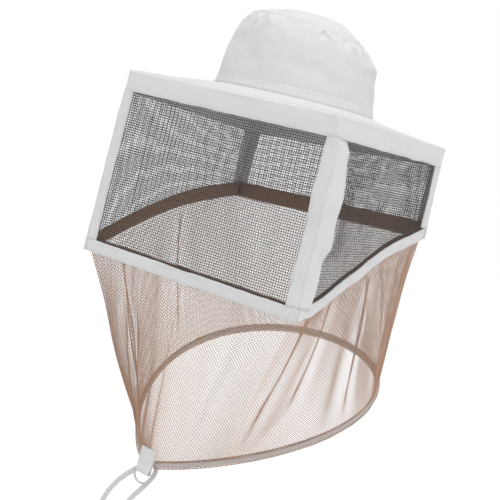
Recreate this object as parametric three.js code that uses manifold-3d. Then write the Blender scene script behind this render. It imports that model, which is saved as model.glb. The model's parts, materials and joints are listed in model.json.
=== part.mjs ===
// A beekeeper's hat with a square veil: a soft cotton crown and brim, a four-sided window of wire
// mesh bound in tape, and a gathered net skirt whose hem runs round a flat drawcord.
// Millimetres, +Z up, face towards -Y, origin at the centre of the head opening.
import * as THREE from 'three';
import { mergeVertices } from 'three/addons/utils/BufferGeometryUtils.js';
import Module from 'manifold-3d';

const wasm = await Module();
wasm.setup();

// ---- Driving sizes ----------------------------------------------------------------------------

const gap = 0.3; // between pieces that are sewn or laid against each other

const headRadius = 95.5; // inside of the sweatband, a 600 mm head
const sweatband = { height: 32, thickness: 1.4, below: 3.5 };
const cotton = 1.6; // two layers of hat cotton
const crown = { height: 107, seamRadius: 66, seamHeight: 97.5, shoulderRadius: 87, shoulderHeight: 66 };
const crownSeamTape = { width: 10, thickness: 1 };
const hatBand = { height: 10, thickness: 1.2 };

const brim = { half: 146.5, fall: 12, thickness: 2 };
const brimBand = { height: 24, meshTuck: 10 };

const tape = { thickness: 2.8, sideWidth: 15, bottomWidth: 15, foldWall: 2.2 };
const wall = { frontDrop: 196, backDrop: 94, lean: 0.02 };
const mesh = { thickness: 0.8 };

const net = { thickness: 1.2, tuck: 10 };
const netBinding = { width: 22, thickness: 1.2, above: 3 };

const hem = {
  frontY: -133, frontZ: -450, depth: 283, rise: 156, halfWidth: 133, offsetX: 50, sharpness: 0.6,
};
const channel = { height: 9, thickness: 5.4, wall: 0.9, seat: 0.5, rightMouth: 0.31, leftMouth: 0.22 };
const cord = { width: 6, thickness: 2 };

const tab = { width: 21, above: 20, thickness: 3, strap: 1.4 };
const ring = { wire: 2.2, depth: 14, clearance: 0.35, sideClearance: 0.4, belowHem: 3.2 };

const hank = { bendRadius: 17, run: 66, pitch: 7, turns: 2, wrap: 0.4 };
const tail = { length: 24, knotRadius: 5 };
const tie = { height: 14, thickness: 1 };

// ---- Places that follow from them -------------------------------------------------------------

const crownInner = headRadius + sweatband.thickness + gap;
const crownOuter = crownInner + cotton;
const bandTop = -brim.fall;
const wallTop = bandTop - brimBand.height - gap;
const wallHalf = brim.half - tape.thickness / 2;
const slotThickness = mesh.thickness + 2 * gap;
const foldInnerRadius = ring.wire / 2 + ring.clearance;
const foldOuterRadius = foldInnerRadius + tab.strap;
const ringAxis = new THREE.Vector3(
  0,
  hem.frontY - channel.thickness / 2 - gap - foldOuterRadius,
  hem.frontZ - channel.height / 2 - ring.belowHem,
);

// The free ends of the drawcord, from the mouths of the hem channel to the tops of their hanks.
const freeEnds = {
  left: {
    pitchSide: -1,
    route: [
      [16.7, -126.5, -446.4], [12.2, -129.2, -447.6], [7.6, -131.0, -448.7], [2.6, -132.0, -450.4],
      [-2.6, -132.4, -452.8], [-8.0, -132.6, -456.2], [-14.5, -132.8, -461.2], [-21.5, -133.2, -467.8],
      [-28.5, -133.8, -475.4], [-34.5, -134.4, -483.2], [-39.8, -135.0, -491.6], [-44.6, -135.6, -501.0],
      [-48.4, -136.0, -511.0], [-51.2, -136.0, -521.5], [-52.0, -136.0, -543.0],
    ],
  },
  right: {
    pitchSide: 1,
    route: [
      [-7.4, -129.9, -448.6], [-4.2, -129.2, -448.5], [0.2, -127.6, -449.2], [4.8, -126.0, -451.0],
      [9.0, -125.2, -454.2], [11.9, -125.1, -458.6], [12.6, -125.4, -463.8], [11.0, -126.3, -469.0],
      [7.6, -127.4, -473.8], [3.0, -128.6, -478.6], [-2.2, -129.8, -483.8], [-7.6, -130.9, -489.6],
      [-12.4, -131.9, -496.4], [-16.2, -132.8, -504.2], [-18.6, -133.4, -513.0], [-19.7, -133.8, -522.0],
      [-20.0, -134.0, -543.0],
    ],
  },
};

// ---- Materials --------------------------------------------------------------------------------

const material = (color, roughness, metalness = 0) =>
  () => new THREE.MeshStandardMaterial({ color, roughness, metalness });
const whiteCotton = material('#e4e4e4', 0.9);
const whiteTape = material('#ececec', 0.85);
const darkWire = material('#4b443f', 0.6, 0.3);
const tanNet = material('#c99e72', 0.85);
const tanBinding = material('#9a6f4d', 0.85);
const whiteCord = material('#e6e6e6', 0.8);
const paleMetal = material('#b9bbbd', 0.25, 1);

const hat = new THREE.Group();

function addPiece(name, geometry, makeMaterial) {
  const piece = new THREE.Mesh(geometry, makeMaterial());
  piece.name = name;
  hat.add(piece);
  return piece;
}

// ---- Shape helpers ----------------------------------------------------------------------------

function positionsOnly(geometry) {
  const bare = geometry.clone();
  bare.deleteAttribute('normal');
  bare.deleteAttribute('uv');
  return mergeVertices(bare, 1e-4);
}

function signedVolume(geometry) {
  const points = geometry.getAttribute('position');
  const index = geometry.getIndex();
  const [a, b, c] = [new THREE.Vector3(), new THREE.Vector3(), new THREE.Vector3()];
  let volume = 0;
  for (let i = 0; i < index.count; i += 3) {
    a.fromBufferAttribute(points, index.getX(i));
    b.fromBufferAttribute(points, index.getX(i + 1));
    c.fromBufferAttribute(points, index.getX(i + 2));
    volume += a.dot(b.cross(c)) / 6;
  }
  return volume;
}

// Moves every point of a closed geometry and leaves the faces pointing out.
function reshape(geometry, place) {
  const shaped = positionsOnly(geometry);
  const points = shaped.getAttribute('position');
  for (let i = 0; i < points.count; i += 1) {
    const moved = place(new THREE.Vector3().fromBufferAttribute(points, i));
    points.setXYZ(i, moved.x, moved.y, moved.z);
  }
  if (signedVolume(shaped) < 0) {
    shaped.index.array.reverse();
  }
  shaped.computeVertexNormals();
  return shaped;
}

function toSolid(geometry) {
  const bare = positionsOnly(geometry);
  const vertProperties = new Float32Array(bare.getAttribute('position').array);
  const triVerts = new Uint32Array(bare.getIndex().array);
  return new wasm.Manifold(new wasm.Mesh({ numProp: 3, vertProperties, triVerts }));
}

function toGeometry(solid) {
  const { vertProperties, triVerts } = solid.getMesh();
  const geometry = new THREE.BufferGeometry();
  geometry.setAttribute('position', new THREE.BufferAttribute(new Float32Array(vertProperties), 3));
  geometry.setIndex(new THREE.BufferAttribute(new Uint32Array(triVerts), 1));
  geometry.computeVertexNormals();
  return geometry;
}

const cut = (geometry, tools) =>
  toGeometry(tools.reduce((left, tool) => left.subtract(toSolid(tool)), toSolid(geometry)));
const join = (first, second) => toGeometry(toSolid(first).add(toSolid(second)));

function outline(points) {
  return new THREE.Shape(points.map(([x, y]) => new THREE.Vector2(x, y)));
}

function slab(shape, thickness, curveSegments = 8) {
  const geometry = new THREE.ExtrudeGeometry(shape, { depth: thickness, bevelEnabled: false, curveSegments });
  return geometry.translate(0, 0, -thickness / 2);
}

// A lathe turned about +Z; its profile is a list of [radius, height].
function turned(profile, segments) {
  const points = profile.map(([radius, height]) => new THREE.Vector2(radius, height));
  return new THREE.LatheGeometry(points, segments).rotateX(Math.PI / 2);
}

const closed = (profile) => [...profile, profile[0]];

// A flat cord section: as wide along X and as thick along Y as a cord, with rounded edges.
function cordSection() {
  const halfWidth = cord.width / 2;
  const halfThickness = cord.thickness / 2;
  const shoulder = halfWidth - halfThickness * 0.6;
  return outline([
    [halfWidth, -halfThickness / 2], [halfWidth, halfThickness / 2], [shoulder, halfThickness],
    [-shoulder, halfThickness], [-halfWidth, halfThickness / 2], [-halfWidth, -halfThickness / 2],
    [-shoulder, -halfThickness], [shoulder, -halfThickness],
  ]);
}

const quarterTurned = (shape) => outline(shape.getPoints().map(({ x, y }) => [y, x]));

// ---- Crown ------------------------------------------------------------------------------------

// The outside of the crown's side, from its base to the seam with the top.
function crownOutside(steps) {
  const side = new THREE.CubicBezierCurve(
    new THREE.Vector2(crownOuter, 0),
    new THREE.Vector2(crown.shoulderRadius, crown.shoulderHeight),
    new THREE.Vector2(crown.shoulderRadius - 2 * cotton, crown.seamHeight - 4 * cotton),
    new THREE.Vector2(crown.seamRadius, crown.seamHeight),
  );
  return Array.from({ length: steps + 1 }, (_, i) => side.getPoint(i / steps));
}

// Where the outside of the crown's side stands at a height near its base.
function crownRadiusAt(height) {
  const lean = (crownOuter - crown.shoulderRadius) / crown.shoulderHeight;
  return crownOuter - lean * height;
}

function addCrown() {
  const side = crownOutside(7);
  const outside = side.map((point) => [point.x, point.y]);
  const inside = side.map((point, i) => {
    const before = side[Math.max(i - 1, 0)];
    const after = side[Math.min(i + 1, side.length - 1)];
    const along = after.clone().sub(before).normalize();
    return [point.x - cotton * along.y, Math.max(point.y + cotton * along.x, 0)];
  });
  const sideProfile = closed([...outside, ...inside.reverse()]);
  addPiece('crown_side', reshape(turned(sideProfile, 48), (p) => p), whiteCotton);

  const seamInside = crown.seamHeight - cotton;
  const topRadius = crown.seamRadius - gap - 1;
  const dome = (lift, steps) => Array.from({ length: steps + 1 }, (_, i) => {
    const share = i / steps;
    const rise = (crown.height - crown.seamHeight) * (1 - share ** 2);
    return [topRadius * share, crown.seamHeight + rise - lift];
  });
  const domeProfile = [...dome(0, 5), ...dome(cotton, 5).reverse()];
  addPiece('crown_top', reshape(turned(domeProfile, 48), (p) => p), whiteCotton);

  const tapeTop = seamInside - cotton - gap;
  const tapeOuter = crown.seamRadius + crownSeamTape.width / 2 - 2 * cotton;
  const tapeInner = crown.seamRadius - crownSeamTape.width;
  const tapeProfile = [
    [tapeInner, tapeTop + cotton], [tapeInner, tapeTop + cotton - crownSeamTape.thickness],
    [tapeOuter, tapeTop - crownSeamTape.thickness], [tapeOuter, tapeTop],
  ];
  addPiece('crown_seam_tape', reshape(turned(closed(tapeProfile), 48), (p) => p), whiteTape);

  const bandInner = (height) => crownRadiusAt(height) + gap;
  const bandProfile = [
    [bandInner(0), 0],
    [bandInner(0) + hatBand.thickness, 0],
    [bandInner(hatBand.height) + hatBand.thickness, hatBand.height],
    [bandInner(hatBand.height), hatBand.height],
  ];
  addPiece('hat_band', reshape(turned(closed(bandProfile), 48), (p) => p), whiteCotton);

  const sweatbandOuter = headRadius + sweatband.thickness;
  const innerLean = (crownOuter - crownRadiusAt(sweatband.height)) - gap;
  const sweatTop = sweatband.height - sweatband.below;
  const sweatProfile = [
    [headRadius, -sweatband.below], [sweatbandOuter, -sweatband.below], [sweatbandOuter, 0],
    [sweatbandOuter - innerLean, sweatTop], [headRadius - innerLean, sweatTop], [headRadius, 0],
  ];
  addPiece('sweatband', reshape(turned(closed(sweatProfile), 48), (p) => p), whiteTape);
}

// ---- Brim -------------------------------------------------------------------------------------

// A point of a square of the given half side, in the direction of an angle.
function onSquare(angle, half) {
  const x = Math.cos(angle);
  const y = Math.sin(angle);
  const reach = half / Math.max(Math.abs(x), Math.abs(y));
  return new THREE.Vector2(x * reach, y * reach);
}

// The brim falls from the round crown to its square edge: the lathe's radius runs from 1 to 2 as
// the brim runs from the circle to the square.
function addBrim() {
  const steps = 3;
  const rim = Array.from({ length: steps + 1 }, (_, i) => 1 + i / steps);
  const profile = [...rim.map((s) => [s, 0]), ...rim.reverse().map((s) => [s, -brim.thickness])];
  const outerHalf = brim.half - tape.thickness - gap;
  const flat = turned(closed(profile), 48);
  addPiece('brim', reshape(flat, (p) => {
    const angle = Math.atan2(p.y, p.x);
    const share = Math.hypot(p.x, p.y) - 1;
    const round = new THREE.Vector2(Math.cos(angle), Math.sin(angle)).multiplyScalar(crownInner);
    const place = round.lerp(onSquare(angle, outerHalf), share);
    return new THREE.Vector3(place.x, place.y, p.z - gap - (brim.fall - gap) * share);
  }), whiteCotton);
}

// ---- Mesh window ------------------------------------------------------------------------------

// The four walls, each named and run from one corner to the next, seen from outside.
const walls = [
  { name: 'front', from: [-1, -1], to: [1, -1], owns: true },
  { name: 'right', from: [1, -1], to: [1, 1], owns: false },
  { name: 'back', from: [1, 1], to: [-1, 1], owns: true },
  { name: 'left', from: [-1, 1], to: [-1, -1], owns: false },
];

const cornerDrop = ([, sideY]) => (sideY < 0 ? wall.frontDrop : wall.backDrop);
const slant = Math.hypot(1, wall.lean);

// How far a wall's edge stands from its middle at a drop below its top. The front and back walls
// cover the corners, and the side walls stop inside them.
function wallEdge(owns, drop, inset = 0) {
  const cover = owns ? tape.thickness / 2 : -(tape.thickness / 2 + gap);
  return wallHalf + wall.lean * drop + cover - inset;
}

// An outline in the wall's own plane, between two drops at each corner, inset from both edges.
function wallOutline({ from, to, owns }, top, bottom, inset = 0) {
  const corner = (side, drop) => [side * wallEdge(owns, drop, inset), -drop * slant];
  return outline([
    corner(-1, top(cornerDrop(from))), corner(-1, bottom(cornerDrop(from))),
    corner(1, bottom(cornerDrop(to))), corner(1, top(cornerDrop(to))),
  ]);
}

// Places a slab made in the wall's plane: X along the wall, Y up it, Z out of it.
function standWall(geometry, { from, to }, outward = 0) {
  const along = new THREE.Vector3(to[0] - from[0], to[1] - from[1], 0).normalize();
  const out = new THREE.Vector3(along.y, -along.x, 0);
  const up = new THREE.Vector3(0, 0, 1).addScaledVector(out, -wall.lean).normalize();
  const normal = new THREE.Vector3().crossVectors(along, up);
  const origin = out.clone().multiplyScalar(wallHalf).add(new THREE.Vector3(0, 0, wallTop));
  const place = new THREE.Matrix4().makeBasis(along, up, normal);
  place.setPosition(origin.addScaledVector(normal, outward));
  return geometry.applyMatrix4(place);
}

const meshOutline = (side, grow) => wallOutline(
  side, () => -brimBand.meshTuck - grow, (drop) => drop - tape.foldWall + grow, tape.foldWall - grow,
);

// The room that a wall's mesh takes inside its tapes and the brim's band.
const meshSlot = (side) => standWall(slab(meshOutline(side, gap), slotThickness), side);

function addBrimBand() {
  const square = (half) => [[-half, -half], [half, -half], [half, half], [-half, half]];
  const shape = outline(square(brim.half));
  shape.holes.push(outline(square(brim.half - tape.thickness)));
  const strip = new THREE.ExtrudeGeometry(shape, { depth: brimBand.height, bevelEnabled: false });
  strip.translate(0, 0, bandTop - brimBand.height);
  addPiece('brim_band', cut(strip, walls.map(meshSlot)), whiteCotton);
}

function addWall(side) {
  addPiece(`mesh_${side.name}`, standWall(slab(meshOutline(side, 0), mesh.thickness), side), darkWire);

  const bottomTop = (drop) => drop - tape.bottomWidth;
  const bottomTape = slab(wallOutline(side, bottomTop, (drop) => drop), tape.thickness);
  addPiece(`bottom_tape_${side.name}`, cut(standWall(bottomTape, side), [meshSlot(side)]), whiteTape);

  const ends = { left: [-1, side.from], right: [1, side.to] };
  for (const [end, [sign, corner]] of Object.entries(ends)) {
    const foot = cornerDrop(corner) - tape.bottomWidth - gap;
    const slope = sign * (cornerDrop(side.to) - cornerDrop(side.from)) / (2 * wallEdge(side.owns, 0));
    const innerFoot = foot - slope * tape.sideWidth;
    const edge = (drop, inset) => [sign * wallEdge(side.owns, drop, inset), -drop * slant];
    const strip = outline([
      edge(0, 0), edge(foot, 0), edge(innerFoot, tape.sideWidth), edge(0, tape.sideWidth),
    ]);
    const sideTape = standWall(slab(strip, tape.thickness), side);
    addPiece(`side_tape_${side.name}_${end}`, cut(sideTape, [meshSlot(side)]), whiteTape);
  }

  const inward = tape.thickness / 2 + gap + net.thickness + gap + netBinding.thickness / 2;
  const clear = inward + netBinding.thickness / 2 + (side.owns ? gap : 0);
  const bindingOutline = wallOutline(
    side,
    (drop) => drop - netBinding.above - netBinding.width,
    (drop) => drop - netBinding.above,
    clear + (side.owns ? tape.thickness / 2 : 0),
  );
  const binding = slab(bindingOutline, netBinding.thickness);
  addPiece(`net_binding_${side.name}`, standWall(binding, side, -inward), tanBinding);
}

// ---- Net skirt and hem ------------------------------------------------------------------------

// The hem: a loop that starts and ends at the front, pointed there by the pull of the drawcord and
// rising to the back. turn runs from 0 to a full circle, first towards +X.
function hemPoint(turn) {
  const back = (1 - Math.cos(turn)) / 2;
  const point = Math.sin(turn) * Math.sin(turn / 2) ** hem.sharpness;
  const fullness = 0.834; // the largest value that the line above takes
  return new THREE.Vector3(
    (hem.halfWidth * point) / fullness + hem.offsetX * back,
    hem.frontY + hem.depth * back,
    hem.frontZ + hem.rise * back,
  );
}

// The hem's directions at a turn: along it, out of it, and up across it.
function hemFrame(turn) {
  const step = 0.002;
  const low = hemPoint(Math.max(turn - step, 0));
  const high = hemPoint(Math.min(turn + step, 2 * Math.PI));
  const along = high.sub(low).normalize();
  const up = new THREE.Vector3(0, 0, 1).addScaledVector(along, -along.z).normalize();
  const out = new THREE.Vector3().crossVectors(along, up);
  return { along, up, out };
}

// The walls' drop round a square of the given half side, which falls evenly from front to back.
function dropAt(y, half) {
  return THREE.MathUtils.lerp(wall.frontDrop, wall.backDrop, (y + half) / (2 * half));
}

// The net hangs inside the bottom tapes and then runs straight to the hem. The lathe's radius
// carries the place down the net: 1 to 2 inside the tapes, 2 to 3 from there to the hem.
function addNet() {
  const hangSteps = 5;
  const places = [1, ...Array.from({ length: hangSteps + 1 }, (_, i) => 2 + i / hangSteps)];
  const half = net.thickness / 2;
  const profile = [...places.map((s) => [s, half]), ...places.reverse().map((s) => [s, -half])];
  const centre = wallHalf - tape.thickness / 2 - gap - half;

  const tucked = (angle, lift, side) => {
    const edge = onSquare(angle, centre + side);
    const drop = dropAt(edge.y, centre + side) - lift;
    const spread = 1 + (wall.lean * drop) / centre;
    return new THREE.Vector3(edge.x * spread, edge.y * spread, wallTop - drop);
  };
  const hung = (angle, share, side) => {
    const turn = THREE.MathUtils.euclideanModulo(angle + Math.PI / 2, 2 * Math.PI);
    const { out, up } = hemFrame(turn);
    const bottom = hemPoint(turn).addScaledVector(out, side);
    bottom.addScaledVector(up, channel.height / 2 + channel.seat);
    return tucked(angle, 0, side).lerp(bottom, share);
  };
  const flat = turned(closed(profile), 72);
  addPiece('veil_net', reshape(flat, (p) => {
    const angle = Math.atan2(p.y, p.x);
    const place = Math.hypot(p.x, p.y);
    return place < 2 - 1e-6 ? tucked(angle, net.tuck * (2 - place), p.z) : hung(angle, place - 2, p.z);
  }), tanNet);
}

// A straight bar of a section, bent round the hem between the two mouths of the channel.
function alongHem(shape, steps, curveSegments) {
  const bar = new THREE.ExtrudeGeometry(shape, { depth: 1, steps, bevelEnabled: false, curveSegments });
  return reshape(bar, (p) => {
    const turn = THREE.MathUtils.lerp(channel.rightMouth, 2 * Math.PI - channel.leftMouth, p.z);
    const { up, out } = hemFrame(turn);
    return hemPoint(turn).addScaledVector(out, p.x).addScaledVector(up, p.y);
  });
}

function roundedSection(width, height) {
  const radius = width / 2;
  const straight = height / 2 - radius;
  const shape = new THREE.Shape();
  shape.absarc(0, straight, radius, 0, Math.PI);
  shape.absarc(0, -straight, radius, Math.PI, 2 * Math.PI);
  shape.closePath();
  return shape;
}

function addHem() {
  const hemSteps = 56;
  const tube = roundedSection(channel.thickness, channel.height);
  tube.holes.push(roundedSection(channel.thickness - 2 * channel.wall, channel.height - 2 * channel.wall));
  addPiece('hem_channel', alongHem(tube, hemSteps, 3), tanNet);

  addPiece('drawcord', alongHem(quarterTurned(cordSection()), hemSteps, 1), whiteCord);
}

// ---- Tab and ring -----------------------------------------------------------------------------

// Where the front of the net stands at a height, in the middle of the front.
function netFrontAt(z) {
  const topZ = wallTop - wall.frontDrop;
  const bottomZ = hem.frontZ + channel.height / 2 + channel.seat;
  const topY = -(wallHalf - tape.thickness / 2 - gap + wall.lean * wall.frontDrop);
  const bottomY = hem.frontY - net.thickness / 2;
  return THREE.MathUtils.mapLinear(z, topZ, bottomZ, topY, bottomY);
}

// The webbing tab in section, seen along X: sewn to the net at its top, with the ring's bar in
// the fold at its foot.
function addTab() {
  const topZ = hem.frontZ + tab.above;
  const top = topZ - ringAxis.z;
  const sewn = netFrontAt(topZ) - gap - ringAxis.y;
  const shape = new THREE.Shape();
  shape.moveTo(sewn - tab.thickness, top);
  shape.lineTo(-foldOuterRadius, 0);
  shape.absarc(0, 0, foldOuterRadius, Math.PI, 2 * Math.PI);
  shape.lineTo(sewn, top);
  shape.closePath();
  const eye = new THREE.Path();
  eye.absarc(0, 0, foldInnerRadius, 0, 2 * Math.PI);
  shape.holes.push(eye);
  const webbing = slab(shape, tab.width, 10);
  const place = new THREE.Matrix4().makeBasis(
    new THREE.Vector3(0, 1, 0), new THREE.Vector3(0, 0, 1), new THREE.Vector3(1, 0, 0),
  );
  webbing.applyMatrix4(place).translate(ringAxis.x, ringAxis.y, ringAxis.z);
  addPiece('cord_tab', webbing, whiteTape);
}

// The D-ring: a straight bar in the tab's fold, and a bow that hangs below it.
function addRing() {
  const radius = ring.wire / 2;
  const halfWidth = tab.width / 2 + ring.sideClearance + radius;
  const bar = new THREE.CylinderGeometry(radius, radius, 2 * halfWidth, 8).rotateZ(Math.PI / 2);
  const shoulder = ring.depth - halfWidth * 0.8;
  const bow = new THREE.CatmullRomCurve3([
    new THREE.Vector3(-halfWidth, 0, 0),
    ...Array.from({ length: 9 }, (_, i) => {
      const angle = Math.PI + (i * Math.PI) / 8;
      return new THREE.Vector3(
        halfWidth * Math.cos(angle), 0, -shoulder + (ring.depth - shoulder) * Math.sin(angle),
      );
    }),
    new THREE.Vector3(halfWidth, 0, 0),
  ]);
  const wireSection = new THREE.Shape();
  wireSection.absarc(0, 0, radius, 0, 2 * Math.PI);
  const wire = new THREE.ExtrudeGeometry(wireSection, {
    steps: 20, curveSegments: 4, bevelEnabled: false, extrudePath: bow,
  });
  const piece = addPiece('d_ring', join(bar, wire), paleMetal);
  piece.position.copy(ringAxis);
}

// ---- Free cord ends ---------------------------------------------------------------------------

// Each end hangs in a hank: its runs stand fore and aft, and its turns lie side by side.
function addFreeEnd(name, { route, pitchSide }) {
  const points = route.map(([x, y, z]) => new THREE.Vector3(x, y, z));
  const foot = points.at(-1);
  const outer = hank.bendRadius + cord.thickness / 2 + hank.wrap;
  const crest = Math.sqrt(outer ** 2 - (hank.bendRadius - cord.thickness / 2) ** 2);

  const lead = points.slice(0, -1);
  lead.push(foot.clone().add(new THREE.Vector3(0, 0, crest + 3 * gap)));
  const tube = new THREE.ExtrudeGeometry(cordSection(), {
    steps: 30, bevelEnabled: false, extrudePath: new THREE.CatmullRomCurve3(lead),
  });
  addPiece(`cord_end_${name}`, reshape(tube, (p) => p), whiteCord);

  const width = cord.width + hank.turns * hank.pitch + 2 * hank.wrap;
  const middle = new THREE.Vector3(
    foot.x + (pitchSide * hank.turns * hank.pitch) / 2, foot.y + hank.bendRadius, foot.z - hank.run / 2,
  );
  const standUp = new THREE.Matrix4().makeBasis(
    new THREE.Vector3(0, 1, 0), new THREE.Vector3(0, 0, 1), new THREE.Vector3(1, 0, 0),
  );
  const body = slab(roundedSection(2 * outer, hank.run + 2 * outer), width, 10).applyMatrix4(standUp);
  addPiece(`cord_hank_${name}`, body.translate(middle.x, middle.y, middle.z), whiteCord);

  const rectangle = (x, y) => [[-x, -y], [x, -y], [x, y], [-x, y]];
  const band = outline(rectangle(width / 2 + gap + tie.thickness, outer + gap + tie.thickness));
  band.holes.push(outline(rectangle(width / 2 + gap, outer + gap)));
  addPiece(`hank_tie_${name}`, slab(band, tie.height).translate(middle.x, middle.y, middle.z), whiteTape);

  const tailTop = new THREE.Vector3(
    foot.x + pitchSide * hank.turns * hank.pitch, foot.y, foot.z - hank.run - crest - gap,
  );
  const tailEnd = tailTop.clone().add(new THREE.Vector3(0, 0, -tail.length));
  const tailTube = new THREE.ExtrudeGeometry(quarterTurned(cordSection()), {
    steps: 4, bevelEnabled: false, extrudePath: new THREE.LineCurve3(tailTop, tailEnd),
  });
  addPiece(`cord_tail_${name}`, reshape(tailTube, (p) => p), whiteCord);

  const knot = new THREE.SphereGeometry(tail.knotRadius, 12, 8);
  knot.translate(tailEnd.x, tailEnd.y, tailEnd.z - tail.knotRadius - gap);
  addPiece(`cord_knot_${name}`, reshape(knot, (p) => p), whiteCord);
}

addCrown();
addBrim();
addBrimBand();
walls.forEach(addWall);
addNet();
addHem();
addTab();
addRing();
Object.entries(freeEnds).forEach(([name, end]) => addFreeEnd(name, end));

export default hat;
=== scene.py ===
# %% [markdown]
# # A beekeeper's hat with a square veil
# This lesson dresses a plain, measured model of a beekeeper's hat: a soft cotton crown and
# brim, four window walls of woven wire bound in white tape, and a net skirt whose hem runs
# round a drawcord. Blender can make such cloth by hand modelling, by simulation or by rules.
# Here each piece gets the way that suits how the real one is made: sewn strips are swept,
# the skirt is simulated, and every wire, net thread and stitch is laid by Geometry Nodes.

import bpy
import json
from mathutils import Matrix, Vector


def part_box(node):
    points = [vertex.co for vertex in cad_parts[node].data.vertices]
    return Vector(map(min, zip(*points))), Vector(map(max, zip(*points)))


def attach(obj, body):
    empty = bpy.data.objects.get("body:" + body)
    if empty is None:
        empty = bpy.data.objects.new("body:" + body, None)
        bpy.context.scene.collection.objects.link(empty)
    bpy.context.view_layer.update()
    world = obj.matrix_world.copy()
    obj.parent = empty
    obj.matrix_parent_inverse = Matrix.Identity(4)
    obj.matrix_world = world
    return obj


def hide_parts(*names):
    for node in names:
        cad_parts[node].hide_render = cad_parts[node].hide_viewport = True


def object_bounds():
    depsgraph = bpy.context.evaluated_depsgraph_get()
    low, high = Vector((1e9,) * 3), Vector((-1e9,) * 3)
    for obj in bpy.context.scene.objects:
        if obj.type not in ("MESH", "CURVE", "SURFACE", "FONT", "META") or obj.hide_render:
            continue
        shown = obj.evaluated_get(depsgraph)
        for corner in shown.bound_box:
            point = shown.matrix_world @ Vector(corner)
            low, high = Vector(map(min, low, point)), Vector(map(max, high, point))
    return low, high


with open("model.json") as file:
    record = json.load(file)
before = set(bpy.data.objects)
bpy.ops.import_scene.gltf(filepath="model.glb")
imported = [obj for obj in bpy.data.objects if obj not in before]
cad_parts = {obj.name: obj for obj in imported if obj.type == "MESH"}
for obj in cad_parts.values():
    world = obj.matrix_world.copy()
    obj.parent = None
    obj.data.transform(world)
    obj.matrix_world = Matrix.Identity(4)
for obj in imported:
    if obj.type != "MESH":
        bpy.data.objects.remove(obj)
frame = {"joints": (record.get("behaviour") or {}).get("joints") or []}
cad_box = [[float(x) for x in corner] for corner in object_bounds()]
print("measured box, m:", cad_box)

# %% Other modules
import json
import math

import bpy
import bmesh
import numpy as np
from mathutils import Matrix, Vector, noise

scene = bpy.context.scene

# %% [markdown]
# ## The camera
# A portrait lens a little over a metre away keeps the square veil from looking stretched.
# The camera could be aimed with a Track To constraint, but the hat is worn tilted, so its
# axes are written out instead: turn, climb, and then a roll about the line of sight.

# %% Place the camera
camera_turn = math.radians(31.24)
camera_climb = math.radians(6.40)
camera_roll = math.radians(13.57)
camera_distance = 1.221
camera_lens = 70.5

right = Vector((math.cos(camera_turn), math.sin(camera_turn), 0))
back = Vector((
    math.sin(camera_turn) * math.cos(camera_climb),
    -math.cos(camera_turn) * math.cos(camera_climb),
    math.sin(camera_climb),
))
above = back.cross(right)
aim = right * -0.0118 + Vector((0, 0, -0.1916))  # a little below the window's middle

camera = bpy.data.objects.new("camera", bpy.data.cameras.new("camera"))
scene.collection.objects.link(camera)
across = right * math.cos(camera_roll) + above * math.sin(camera_roll)
upright = above * math.cos(camera_roll) - right * math.sin(camera_roll)
axes = Matrix((across, upright, back)).transposed().to_4x4()
camera.matrix_world = Matrix.Translation(aim + back * camera_distance) @ axes
camera.data.lens = camera_lens
camera.data.sensor_width = 36
camera.data.clip_start = 0.05
camera.data.clip_end = 200
scene.camera = camera
print("camera at", [round(x, 3) for x in camera.matrix_world.translation])

# %% [markdown]
# ## Helpers for cloth and cord
# Nearly every piece here is a strip or a tube: a short outline carried along a path. So one
# helper turns a grid of points into a smooth mesh and also stores where each point lies on
# the flat cloth, in metres. Weaves and net threads read that flat map, so that they bend
# with the cloth, which a pattern in space could not do.

# %% An object for some data, and a skin over a grid of points
def placed(name, data):
    """An object in the scene, at the origin."""
    thing = bpy.data.objects.new(name, data)
    scene.collection.objects.link(thing)
    return thing


def skin(name, points, flat=None, loop_rows=False, loop_columns=False, capped=False):
    """Points is rows x columns x 3. Flat is the same grid on the cloth, with one more row or
    column where the grid closes on itself."""
    points = np.asarray(points, float)
    rows, columns = points.shape[:2]
    steps = rows if loop_rows else rows - 1
    turns = columns if loop_columns else columns - 1
    i, j = np.meshgrid(np.arange(steps), np.arange(turns), indexing="ij")
    ring = [(i, j), (i + 1, j), (i + 1, j + 1), (i, j + 1)]
    quads = np.stack([(a % rows) * columns + b % columns for a, b in ring], -1).reshape(-1, 4)
    faces = quads.tolist()
    if capped:
        faces.append(list(range(columns)))
        faces.append(list(range((rows - 1) * columns, rows * columns))[::-1])
    mesh = bpy.data.meshes.new(name)
    mesh.from_pydata(points.reshape(-1, 3).tolist(), [], faces)
    if flat is not None:
        flat = np.asarray(flat, float)
        corners = np.stack([flat[a, b] for a, b in ring], -2).reshape(-1, 2)
        spare = np.zeros((sum(len(f) for f in faces) - len(corners), 2))
        layer = mesh.uv_layers.new(name="cloth")
        layer.data.foreach_set("uv", np.concatenate([corners, spare]).ravel())
    mesh.polygons.foreach_set("use_smooth", [True] * len(mesh.polygons))
    return placed(name, mesh)


def reworked(piece, operation):
    """Runs one mesh operation on a piece."""
    work = bmesh.new()
    work.from_mesh(piece.data)
    operation(work)
    work.to_mesh(piece.data)
    work.free()
    return piece


def face_outwards(piece):
    """Turns every face of a closed piece to the outside."""
    return reworked(piece, lambda work: bmesh.ops.recalc_face_normals(work, faces=work.faces))


# %% Directions and lengths along a line, and a slow random wander
def unit(vectors):
    """Each row of an array, made 1 long."""
    return vectors / np.linalg.norm(vectors, axis=1)[:, None]


def loop_heading(points):
    """The direction of a closed line at each of its points."""
    return unit(np.roll(points, -1, 0) - np.roll(points, 1, 0))


def lengths(line, closed=False):
    """How far along a line each of its points is, with the way back to the start if closed."""
    line = np.asarray(line, float)
    if closed:
        line = np.concatenate([line, line[:1]])
    return np.concatenate([[0], np.cumsum(np.linalg.norm(np.diff(line, axis=0), axis=1))])


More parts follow.
